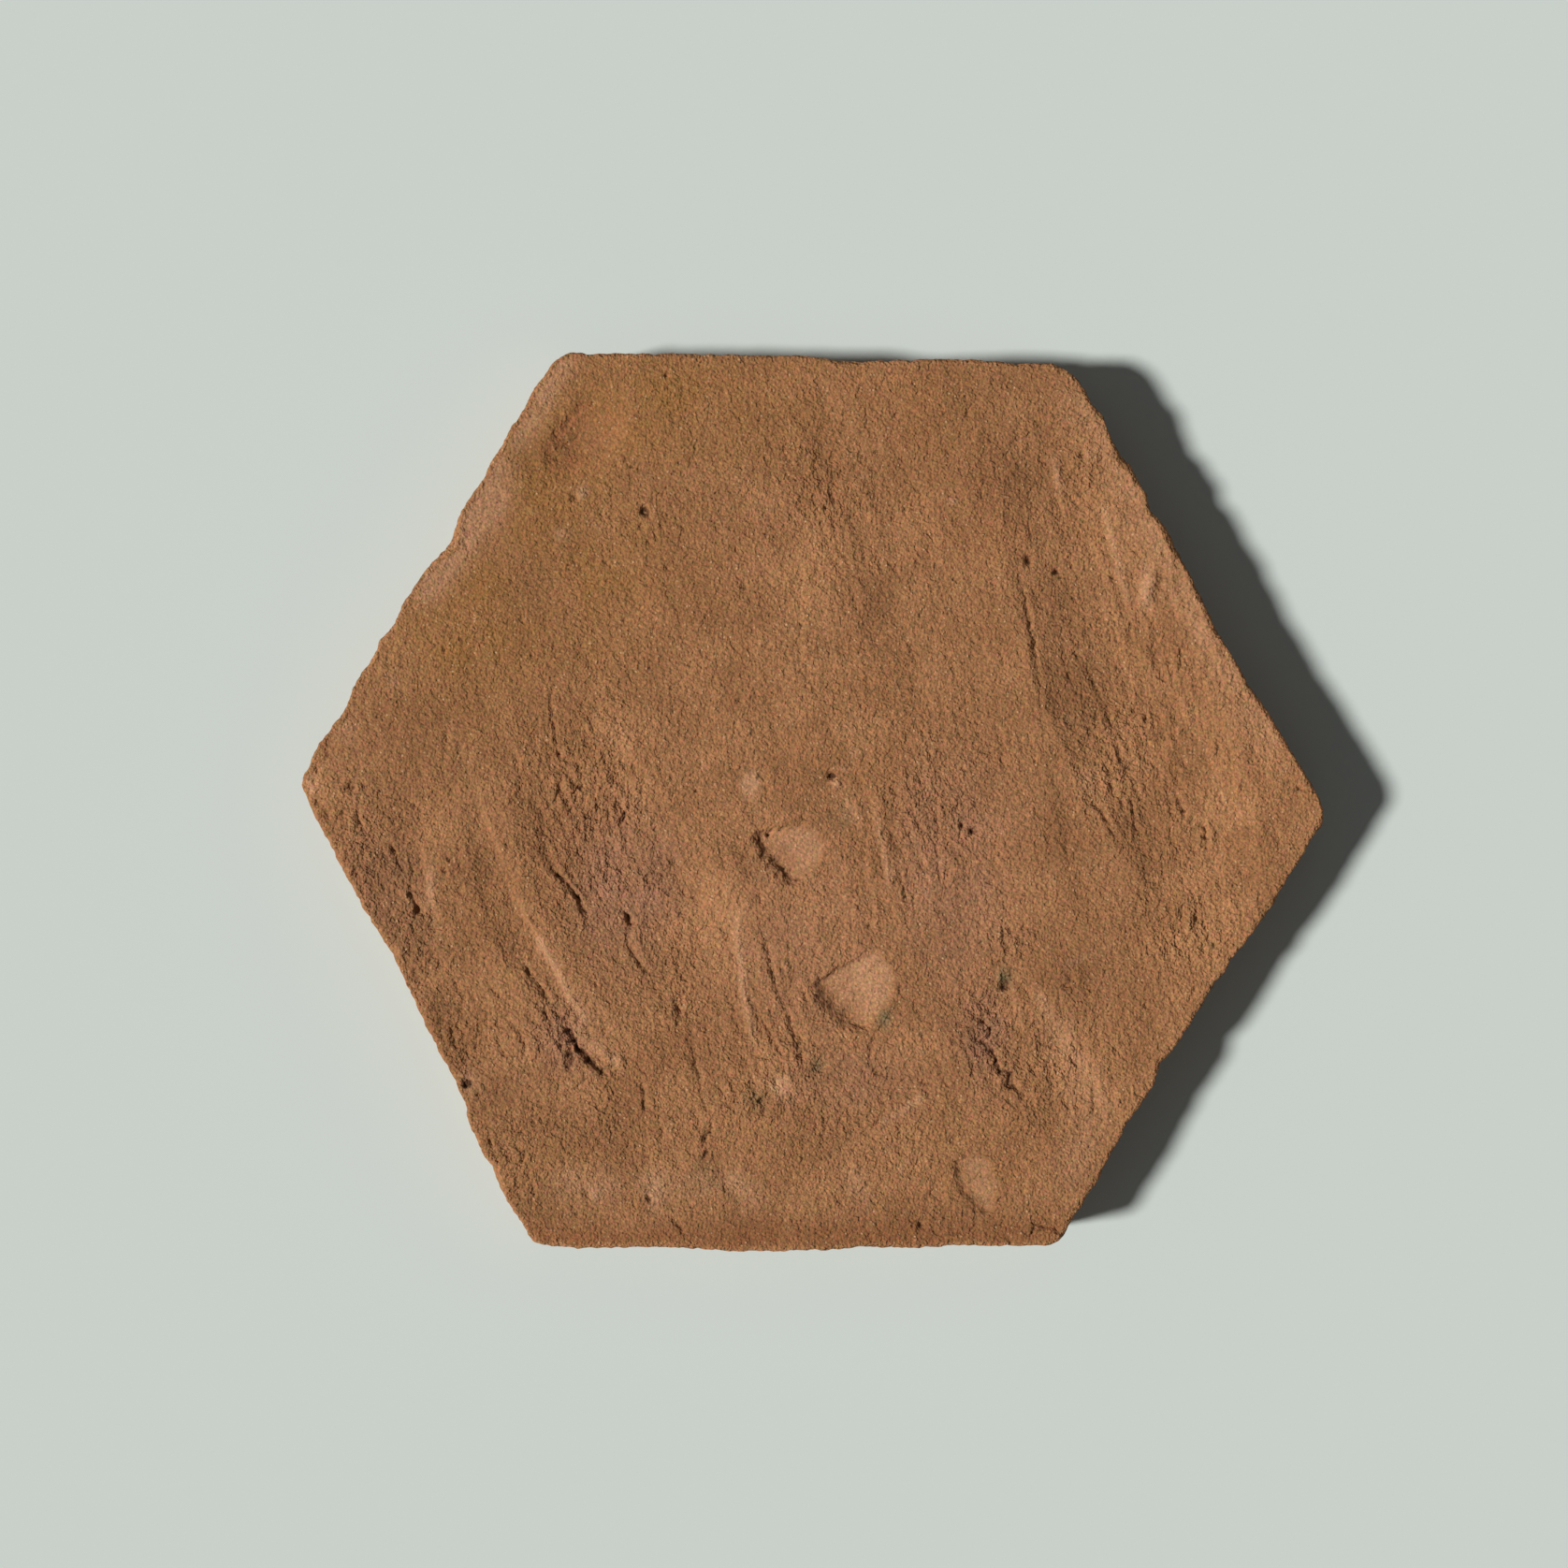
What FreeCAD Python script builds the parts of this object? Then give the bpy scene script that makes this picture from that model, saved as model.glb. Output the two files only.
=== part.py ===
import FreeCAD, Part
import math
import os

import Sketcher

# A hand-cut six-sided terracotta floor tile. It is one piece of fired clay, lying with its worn face up.
# Millimetres, +Z up. The origin is under the tile's middle, on the plane of its underside.
# X runs from the left corner to the right one, and Y runs from the lower side to the upper one.

NODE = "terracotta_tile"

# The slab. Its face sinks to a shallow dish. Each cut into the face starts a little way above it.
SLAB = {
    "thickness": 20.0,
    "worn_arris": 1.3,
    "underside_arris": 0.8,
    "dish_depth": 0.7,
    "dish_reach": 94.0,
    "clearance": 1.0,
}

# Each corner of the face, clockwise: x, y, its rounding, and how far the side that follows it bows outwards.
CORNERS = {
    "upper_left": (-56.8, 101.0, 6.8, 0.2),
    "upper_right": (58.0, 98.5, 11.0, -0.7),
    "right": (116.5, -3.2, 9.0, -1.5),
    "lower_right": (55.1, -99.6, 5.4, 1.1),
    "lower_left": (-63.0, -100.0, 8.0, -1.4),
    "left": (-115.5, 4.8, 4.8, -0.2),
}

# Each swipe of a hand over the wet clay, and the dent of a thumb: the x and y of its deepest point, its
# heading there anticlockwise from +X, the radius of its bend to the left of that, its width, its length and
# its depth.
SWIPES = {
    "left_swipe": (-64.8, -31.5, -63.0, 118.0, 10.5, 76.0, 0.7),
    "middle_swipe": (-38.8, -21.9, -59.3, 277.0, 38.6, 95.5, 1.5),
    "right_swipe": (69.4, 30.0, -70.5, 600.0, 40.0, 122.0, 2.2),
    "lower_right_swipe": (49.0, -55.0, -57.0, 160.0, 22.0, 52.0, 0.9),
    "upper_left_dent": (-50.0, 83.0, 51.0, 60.0, 15.0, 28.0, 0.8),
}

# Each scar where a stone was plucked from the clay: the x and y of its deep end, the heading in which its
# floor rises, its depth, its length, and its breadth at the deep end, halfway and at the far end.
SCARS = {
    "upper_scar": (-7.9, -12.9, 33.0, 1.3, 12.2, 13.4, 12.8, 6.4),
    "middle_scar": (5.5, -44.5, 36.0, 1.5, 14.4, 13.0, 13.6, 8.0),
    "lower_scar": (33.9, -86.0, 27.0, 0.9, 7.2, 12.0, 12.6, 7.0),
}

# Each chip knocked out of the worn arris: the corner before its side, clockwise, how far along that side it
# lies as a share of the side's length, its breadth and its depth.
CHIPS = {
    "left_chip": ("left", 0.57, 11.0, 0.9),
    "upper_chip": ("upper_left", 0.57, 8.0, 0.7),
    "first_right_chip": ("upper_right", 0.18, 9.0, 0.9),
    "second_right_chip": ("upper_right", 0.36, 7.0, 0.8),
    "lower_chip": ("lower_right", 0.8, 8.0, 0.6),
    "lower_left_chip": ("lower_left", 0.12, 6.0, 0.8),
}

LEVEL = FreeCAD.Rotation()
UPRIGHT = FreeCAD.Rotation(0, 0, 90)
SAME_PLACE = 0.01
LEAST_CUT = 1.0
FULL_TURN = 360


def follower(corner):
    """The corner that comes after this one, clockwise."""
    names = list(CORNERS)
    return names[(names.index(corner) + 1) % len(names)]


def write_sheet(doc):
    """Writes every driving dimension to the sheet, under an alias made of plain words."""
    chips = {name: values[1:] for name, values in CHIPS.items()}
    tables = (
        (CORNERS, ("x", "y", "round", "bow")),
        (SWIPES, ("x", "y", "heading", "bend", "width", "length", "depth")),
        (SCARS, ("x", "y", "heading", "depth", "length", "start", "middle", "end")),
        (chips, ("share", "breadth", "depth")),
    )
    rows = dict(SLAB)
    for table, columns in tables:
        for name, values in table.items():
            rows.update({f"{name}_{column}": value for column, value in zip(columns, values)})
    sheet = doc.addObject("Spreadsheet::Sheet", "Sizes")
    for row, (alias, value) in enumerate(rows.items(), start=1):
        sheet.set(f"A{row}", alias)
        sheet.set(f"B{row}", str(value))
        sheet.setAlias(f"B{row}", alias)
    doc.recompute()
    return sheet


def face_height(x, y):
    """The height of the dished face over a point, as an expression."""
    return f"(Sizes.thickness - Sizes.dish_depth * (1 - (({x})^2 + ({y})^2) / Sizes.dish_reach^2))"


def new_sketch(body, name, rotation, origin, yaw="0", pitch="0"):
    """An empty sketch on the body's level plane. Its origin and its turns are bound to the sheet."""
    sketch = body.newObject("Sketcher::SketchObject", name)
    plane = next(feature for feature in body.Origin.OriginFeatures if feature.Role == "XY_Plane")
    sketch.AttachmentSupport = (plane, [""])
    sketch.MapMode = "FlatFace"
    sketch.AttachmentOffset = FreeCAD.Placement(FreeCAD.Vector(), rotation)
    paths = ("Base.x", "Base.y", "Base.z", "Rotation.Yaw", "Rotation.Pitch")
    for path, expression in zip(paths, (*origin, yaw, pitch)):
        sketch.setExpression(f"AttachmentOffset.{path}", expression)
    return sketch


def bind(sketch, name, expression, kind, *elements):
    """Adds a dimension to a sketch and binds it to the sheet."""
    index = sketch.addConstraint(Sketcher.Constraint(kind, *elements))
    sketch.renameConstraint(index, name)
    sketch.setExpression(f"Constraints.{name}", expression)


def bind_point(sketch, name, point, element, vertex, across, up):
    """Binds both coordinates of a point of a sketch, measured from the sketch's origin."""
    bind(sketch, f"{name}_across", across, "DistanceX", -1, 1, element, vertex, point.x)
    bind(sketch, f"{name}_up", up, "DistanceY", -1, 1, element, vertex, point.y)


def vertex_at(sketch, element, point):
    """Which end of a sketched line or arc lies at a point: 1 for its start and 2 for its end."""
    return min((1, 2), key=lambda vertex: sketch.getPoint(element, vertex).distanceToPoint(point))


def join(sketch, element, other, point):
    """Joins the ends of two elements that meet at a point."""
    ends = vertex_at(sketch, element, point), vertex_at(sketch, other, point)
    sketch.addConstraint(Sketcher.Constraint("Coincident", element, ends[0], other, ends[1]))


def cut(doc, body, kind, name, profile, expressions=None, **settings):
    """Adds a cut from a sketch, and stops if its tool takes no clay away."""
    uncut = body.Shape
    feature = body.newObject(f"PartDesign::{kind}", name)
    feature.Profile = profile
    for setting, value in settings.items():
        setattr(feature, setting, value)
    for path, expression in (expressions or {}).items():
        feature.setExpression(path, expression)
    doc.recompute()
    for item in (profile, feature):
        if not item.isValid():
            raise ValueError(f"{item.Name}: {item.getStatusString()}")
    taken = uncut.common(feature.AddSubShape).Volume
    print(f"{name} takes {taken:.0f} cubic millimetres of clay away")
    if taken < LEAST_CUT:
        raise ValueError(f"{name} takes no clay away")


def add_outline(body):
    """The face's outline: six slightly bowed sides, each an arc from one corner to the next."""
    sketch = new_sketch(body, "FaceOutline", LEVEL, ("0", "0", "Sizes.thickness"))
    points = {name: FreeCAD.Vector(*values[:2], 0) for name, values in CORNERS.items()}
    for name, (_, _, _, bow) in CORNERS.items():
        start, end = points[name], points[follower(name)]
        along = (end - start).normalize()
        crown = (start + end) * 0.5 + FreeCAD.Vector(-along.y, along.x, 0) * bow
        sketch.addGeometry(Part.Arc(start, crown, end), False)
    names = list(CORNERS)
    for index, name in enumerate(names):
        after = follower(name)
        join(sketch, index, names.index(after), points[after])
        vertex = vertex_at(sketch, index, points[name])
        bind_point(sketch, name, points[name], index, vertex, f"Sizes.{name}_x", f"Sizes.{name}_y")
    for index, name in enumerate(names):
        after = follower(name)
        chord = f"((Sizes.{name}_x - Sizes.{after}_x)^2 + (Sizes.{name}_y - Sizes.{after}_y)^2)"
        radius = f"({chord} / 4 + Sizes.{name}_bow^2) / (2 * abs(Sizes.{name}_bow))"
        bind(sketch, f"{name}_side", radius, "Radius", index, sketch.Geometry[index].Radius)
    return sketch


def add_slab(doc, body, outline):
    """The slab, padded straight down from its face."""
    slab = body.newObject("PartDesign::Pad", "Slab")
    slab.Profile = outline
    slab.Reversed = True
    slab.setExpression("Length", "Sizes.thickness")
    doc.recompute()


def round_edges(doc, body, name, radius, wanted):
    """Rounds the edges of the body that a test picks."""
    base = body.Tip
    edges = [f"Edge{number}" for number, edge in enumerate(base.Shape.Edges, start=1) if wanted(edge)]
    rounding = body.newObject("PartDesign::Fillet", name)
    rounding.Base = (base, edges)
    rounding.setExpression("Radius", radius)
    doc.recompute()


def round_slab(doc, body, sheet):
    """Rounds the six upright corners, then the worn arris round the face and the one underneath."""

    def runs_from(corner):
        return lambda edge: (
            abs(edge.firstVertex().Z - edge.lastVertex().Z) > sheet.thickness / 2
            and min(vertex.Point.distanceToPoint(corner) for vertex in edge.Vertexes) < SAME_PLACE
        )

    def lies_at(height):
        return lambda edge: all(abs(vertex.Z - height) < SAME_PLACE for vertex in edge.Vertexes)

    for name, values in CORNERS.items():
        corner = FreeCAD.Vector(*values[:2], sheet.thickness)
        round_edges(doc, body, f"{name}_rounding", f"Sizes.{name}_round", runs_from(corner))
    round_edges(doc, body, "WornArris", "Sizes.worn_arris", lies_at(sheet.thickness))
    round_edges(doc, body, "UndersideArris", "Sizes.underside_arris", lies_at(0))


def press_hollow(doc, body, name, origin, yaw, sizes):
    """A shallow hollow: a wide, flat parabola carried round a tilted ring that dips into the face.

    The sizes are the hollow's depth, its width, the ring's radius, its tilt and how far it turns, each with
    its value and its expression. The sketch's origin is the deepest point.
    """
    (depth, depth_size), (width, width_size), (bend, bend_size), (tilt, tilt_size), (_, turn_size) = sizes
    sketch = new_sketch(body, f"{name}_section", UPRIGHT, origin, yaw)
    spoke = FreeCAD.Vector(math.cos(tilt), math.sin(tilt), 0) * bend
    axle = FreeCAD.Vector(-math.sin(tilt), math.cos(tilt), 0) * bend
    axis = sketch.addGeometry(Part.LineSegment(spoke, spoke + axle), True)
    arm = sketch.addGeometry(Part.LineSegment(FreeCAD.Vector(), spoke), True)
    sketch.addConstraint(Sketcher.Constraint("Coincident", arm, 1, -1, 1))
    sketch.addConstraint(Sketcher.Constraint("Coincident", arm, 2, axis, 1))
    sketch.addConstraint(Sketcher.Constraint("Perpendicular", axis, arm))
    sketch.addConstraint(Sketcher.Constraint("Equal", axis, arm))
    bind(sketch, "bend", bend_size, "Distance", arm, bend)
    bind(sketch, "tilt", tilt_size, "Angle", -1, 1, arm, 1, tilt)

    top = depth + SLAB["dish_depth"] + SLAB["clearance"]
    reach = width / 2 * math.sqrt(top / depth)
    far, below, near = (FreeCAD.Vector(*pole, 0) for pole in ((-reach, top), (0, -top), (reach, top)))
    top_size = f"({depth_size} + Sizes.dish_depth + Sizes.clearance)"
    reach_size = f"({width_size}) / 2 * sqrt({top_size} / {depth_size})"
    places = ((f"-{reach_size}", top_size), ("0", f"-{top_size}"), (reach_size, top_size))
    circles = [
        sketch.addGeometry(Part.Circle(pole, FreeCAD.Vector(0, 0, 1), 1), True) for pole in (far, below, near)
    ]
    section = Part.BSplineCurve([far, below, near], None, None, False, 2, None, False)
    curve = sketch.addGeometry(section, False)
    sketch.addConstraint(Sketcher.Constraint("Weight", circles[0], 1))
    for circle in circles[1:]:
        sketch.addConstraint(Sketcher.Constraint("Equal", circles[0], circle))
    for number, (circle, pole, place) in enumerate(zip(circles, (far, below, near), places)):
        alignment = "InternalAlignment:Sketcher::BSplineControlPoint"
        sketch.addConstraint(Sketcher.Constraint(alignment, circle, 3, curve, number))
        bind_point(sketch, f"control_{number}", pole, circle, 3, *place)
    lid = sketch.addGeometry(Part.LineSegment(near, far), False)
    join(sketch, curve, lid, near)
    join(sketch, curve, lid, far)
    turn = {"Angle": turn_size}
    cut(doc, body, "Groove", name, sketch, turn, ReferenceAxis=(sketch, ["Axis0"]), Midplane=True)


def add_dish(doc, body):
    """The face worn to a shallow dish, as a hollow as wide as it is long, from an upright ring."""
    depth, reach = SLAB["dish_depth"], SLAB["dish_reach"]
    radius = "((Sizes.dish_reach^2 + Sizes.dish_depth^2) / (2 * Sizes.dish_depth))"
    sizes = (
        (depth, "Sizes.dish_depth"),
        (2 * reach, "2 * Sizes.dish_reach"),
        ((reach**2 + depth**2) / (2 * depth), radius),
        (math.pi / 2, "90"),
        (None, f"4 * asin(Sizes.dish_reach / {radius})"),
    )
    press_hollow(doc, body, "Dish", ("0", "0", "Sizes.thickness - Sizes.dish_depth"), "0", sizes)


def add_swipe(doc, body, name):
    """A hand's swipe: a long hollow that bends, and runs out of the face at both ends."""
    _, _, _, bend, width, length, depth = SWIPES[name]
    size = f"Sizes.{name}"
    half_arc = f"({size}_length / {size}_bend * 90 / pi)"
    sizes = (
        (depth, f"{size}_depth"),
        (width, f"{size}_width"),
        (bend, f"{size}_bend"),
        (
            math.asin(depth / (bend * (1 - math.cos(length / bend / 2)))),
            f"asin({size}_depth / ({size}_bend * (1 - cos({half_arc}))))",
        ),
        (None, f"4 * {half_arc}"),
    )
    bottom = f"{face_height(f'{size}_x', f'{size}_y')} - {size}_depth"
    press_hollow(doc, body, name, (f"{size}_x", f"{size}_y", bottom), f"{size}_heading + 90", sizes)


def add_scar(doc, body, name):
    """A plucked scar: a pocket whose floor slopes up from its steep, deep end and runs out at the other."""
    _, _, _, depth, length, start, middle, end = SCARS[name]
    size = f"Sizes.{name}"
    bottom = f"{face_height(f'{size}_x', f'{size}_y')} - {size}_depth"
    origin = (f"{size}_x", f"{size}_y", bottom)
    slope = f"-atan({size}_depth / {size}_length)"
    sketch = new_sketch(body, f"{name}_floor", LEVEL, origin, f"{size}_heading", slope)
    stations = (
        ("deep", 0, start / 2, "0", "start"),
        ("widest", length / 2, middle / 2, f"{size}_length / 2", "middle"),
        ("far", length, end / 2, f"{size}_length", "end"),
    )
    sides = []
    for side, sign in (("left", 1), ("right", -1)):
        points = [FreeCAD.Vector(across, sign * up, 0) for _, across, up, _, _ in stations]
        edge = sketch.addGeometry(Part.Arc(*points), False)
        mark = sketch.addGeometry(Part.Point(points[1]), True)
        sketch.addConstraint(Sketcher.Constraint("PointOnObject", mark, 1, edge))
        for point, (station, _, _, across, breadth) in zip(points, stations):
            element, vertex = (mark, 1) if station == "widest" else (edge, vertex_at(sketch, edge, point))
            up = f"{sign} * {size}_{breadth} / 2"
            bind_point(sketch, f"{side}_{station}", point, element, vertex, across, up)
        sides.append((edge, points))
    (left, left_points), (right, right_points) = sides
    for left_point, right_point in ((left_points[0], right_points[0]), (left_points[2], right_points[2])):
        end_line = sketch.addGeometry(Part.LineSegment(left_point, right_point), False)
        join(sketch, left, end_line, left_point)
        join(sketch, right, end_line, right_point)
    height = {"Length": f"{size}_depth + Sizes.dish_depth + Sizes.clearance"}
    cut(doc, body, "Pocket", name, sketch, height, Reversed=True)


def add_chip(doc, body, name):
    """A chip out of the worn arris: the hollow that a ball leaves where it meets the edge at 45 degrees."""
    corner, share, breadth, depth = CHIPS[name]
    after = follower(corner)
    size = f"Sizes.{name}"
    run = [f"(Sizes.{after}_{axis} - Sizes.{corner}_{axis})" for axis in "xy"]
    origin = [f"Sizes.{corner}_{axis} + {size}_share * {way}" for axis, way in zip("xy", run)]
    heading = f"atan2({run[0]}; -{run[1]})"
    sketch = new_sketch(body, f"{name}_ball", UPRIGHT, (*origin, "Sizes.thickness"), heading)
    ball = (breadth**2 / 4 + depth**2) / (2 * depth)
    bow = 4 * CORNERS[corner][3] * share * (1 - share)
    away = (ball - depth - (math.sqrt(2) - 1) * SLAB["worn_arris"]) / math.sqrt(2)
    middle = FreeCAD.Vector(away + bow, away, 0)
    foot, side, top = (middle + FreeCAD.Vector(*way, 0) * ball for way in ((0, -1), (-1, 0), (0, 1)))
    flat = sketch.addGeometry(Part.LineSegment(foot, top), False)
    half = sketch.addGeometry(Part.Arc(foot, side, top), False)
    for point in (foot, top):
        join(sketch, flat, half, point)
    sketch.addConstraint(Sketcher.Constraint("Vertical", flat))
    sketch.addConstraint(Sketcher.Constraint("PointOnObject", half, 3, flat))
    radius = f"({size}_breadth^2 / 4 + {size}_depth^2) / (2 * {size}_depth)"
    reach = f"({radius} - {size}_depth - (sqrt(2) - 1) * Sizes.worn_arris) / sqrt(2)"
    bowed = f"4 * Sizes.{corner}_bow * {size}_share * (1 - {size}_share)"
    bind_point(sketch, "middle", middle, half, 3, f"{reach} + {bowed}", reach)
    bind(sketch, "ball", radius, "Radius", half, ball)
    cut(doc, body, "Groove", name, sketch, ReferenceAxis=(sketch, ["Edge1"]), Angle=FULL_TURN)


def main():
    os.makedirs("parts", exist_ok=True)
    doc = FreeCAD.newDocument("Tile")
    sheet = write_sheet(doc)
    body = doc.addObject("PartDesign::Body", "Tile")
    body.Label = NODE
    doc.recompute()
    add_slab(doc, body, add_outline(body))
    round_slab(doc, body, sheet)
    add_dish(doc, body)
    for name in SWIPES:
        add_swipe(doc, body, name)
    for name in SCARS:
        add_scar(doc, body, name)
    for name in CHIPS:
        add_chip(doc, body, name)
    doc.recompute()
    for item in doc.Objects:
        if {"Invalid", "Error"} & set(item.State):
            raise ValueError(f"{item.Name} is {item.State}")
    shape = body.Shape
    if shape.isNull() or not shape.isValid() or len(shape.Solids) != 1:
        raise ValueError("The tile isn't one sound solid")
    shape.exportStep(f"parts/{body.Label}.step")
    box = shape.optimalBoundingBox(True, False)
    print(f"The tile is {shape.Volume / 1000:.1f} cubic centimetres, in {box}")


main()
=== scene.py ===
"""The looks of a hand-cut hexagonal terracotta floor tile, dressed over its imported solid.

Places and sizes are in millimetres of the tile's own frame, and become metres where the mesh is made.
+X runs to the right corner, +Y to the upper side and +Z out of the worn face. The origin is under the
tile's middle, on the floor.
"""

import itertools
import math

import bpy
import numpy as np
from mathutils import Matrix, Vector


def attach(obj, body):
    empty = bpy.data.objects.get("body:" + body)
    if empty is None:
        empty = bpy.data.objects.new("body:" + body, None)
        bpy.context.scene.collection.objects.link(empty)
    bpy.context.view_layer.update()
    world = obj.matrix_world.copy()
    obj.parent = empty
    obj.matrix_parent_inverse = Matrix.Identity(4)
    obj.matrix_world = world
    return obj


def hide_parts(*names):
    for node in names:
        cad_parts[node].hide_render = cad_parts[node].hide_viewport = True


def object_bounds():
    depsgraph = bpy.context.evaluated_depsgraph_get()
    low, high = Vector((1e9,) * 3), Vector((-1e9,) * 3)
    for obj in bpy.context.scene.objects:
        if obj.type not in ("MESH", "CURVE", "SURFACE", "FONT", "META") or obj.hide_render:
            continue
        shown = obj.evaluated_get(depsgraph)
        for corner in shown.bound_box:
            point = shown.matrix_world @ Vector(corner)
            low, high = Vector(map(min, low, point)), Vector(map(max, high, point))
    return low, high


NODE = "terracotta_tile"
METRES = 0.001

# The slab, as its solid is.
THICKNESS = 20.0
WORN_ARRIS = 1.3
UNDERSIDE_ARRIS = 0.8
DISH_DEPTH = 0.7
DISH_REACH = 94.0

# Corners of the face, clockwise from the upper left: x, y, rounding, bow of the side that follows.
CORNERS = (
    (-56.8, 101.0, 6.8, 0.2),
    (58.0, 98.5, 11.0, -0.7),
    (116.5, -3.2, 9.0, -1.5),
    (55.1, -99.6, 5.4, 1.1),
    (-63.0, -100.0, 8.0, -1.4),
    (-115.5, 4.8, 4.8, -0.2),
)

# How finely the clay is meshed.
FACE_STEPS = 290
ARRIS_ROWS = 9
LOW_ARRIS_ROWS = 4
WALL_ROWS = 34
UNDERSIDE_RINGS = (0.985, 0.95, 0.88, 0.75, 0.55, 0.35, 0.15)
OUTLINE_STEPS = 500
MOST_TRIANGLES = 196000

# How far the face is worn down towards its rim, between these distances from its middle, and how softly its
# highest places are worn off below the slab's level.
RIM_WEAR = 0.3
WEAR_STARTS, WEAR_ENDS = 70.0, 95.0
WEAR_SOFTNESS = 0.12

# Swipes of a hand, and a thumb's dent: x and y of the deepest point, heading, radius of the bend to the left,
# width, length and depth.
SWIPES = (
    (-64.8, -31.5, -63.0, 118.0, 10.5, 76.0, 0.7),
    (-38.8, -21.9, -59.3, 277.0, 38.6, 95.5, 1.5),
    (69.4, 30.0, -70.5, 600.0, 40.0, 122.0, 2.2),
    (49.0, -55.0, -57.0, 160.0, 22.0, 52.0, 0.9),
    (-50.0, 83.0, 51.0, 60.0, 15.0, 28.0, 0.8),
)

# Plucked scars: the outline, anticlockwise, whose first two sides are its steep bank. Then come the heading
# in which the floor rises from the corner between them, its length, its depth, the breadth of the bank and
# how pale the floor is.
SCARS = (
    (
        (
            (-12.8, -6.4), (-12.2, -10.6), (-5.0, -18.8), (-1.6, -17.4), (2.8, -12.0), (3.6, -9.2),
            (-1.4, -4.6),
        ),
        (33.0, 14.0, 1.4, 1.4, 0.72),
    ),
    (
        (
            (-0.6, -40.8), (1.6, -45.6), (6.4, -50.8), (12.2, -50.8), (18.0, -44.6), (18.8, -38.4),
            (14.4, -32.2),
        ),
        (38.0, 17.0, 1.7, 3.6, 0.78),
    ),
    (
        (
            (31.4, -80.6), (32.2, -86.0), (36.6, -92.0), (39.8, -92.0), (41.4, -87.0), (40.4, -81.0),
            (37.6, -78.0),
        ),
        (27.0, 9.0, 0.7, 1.4, 0.6),
    ),
)

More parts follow.
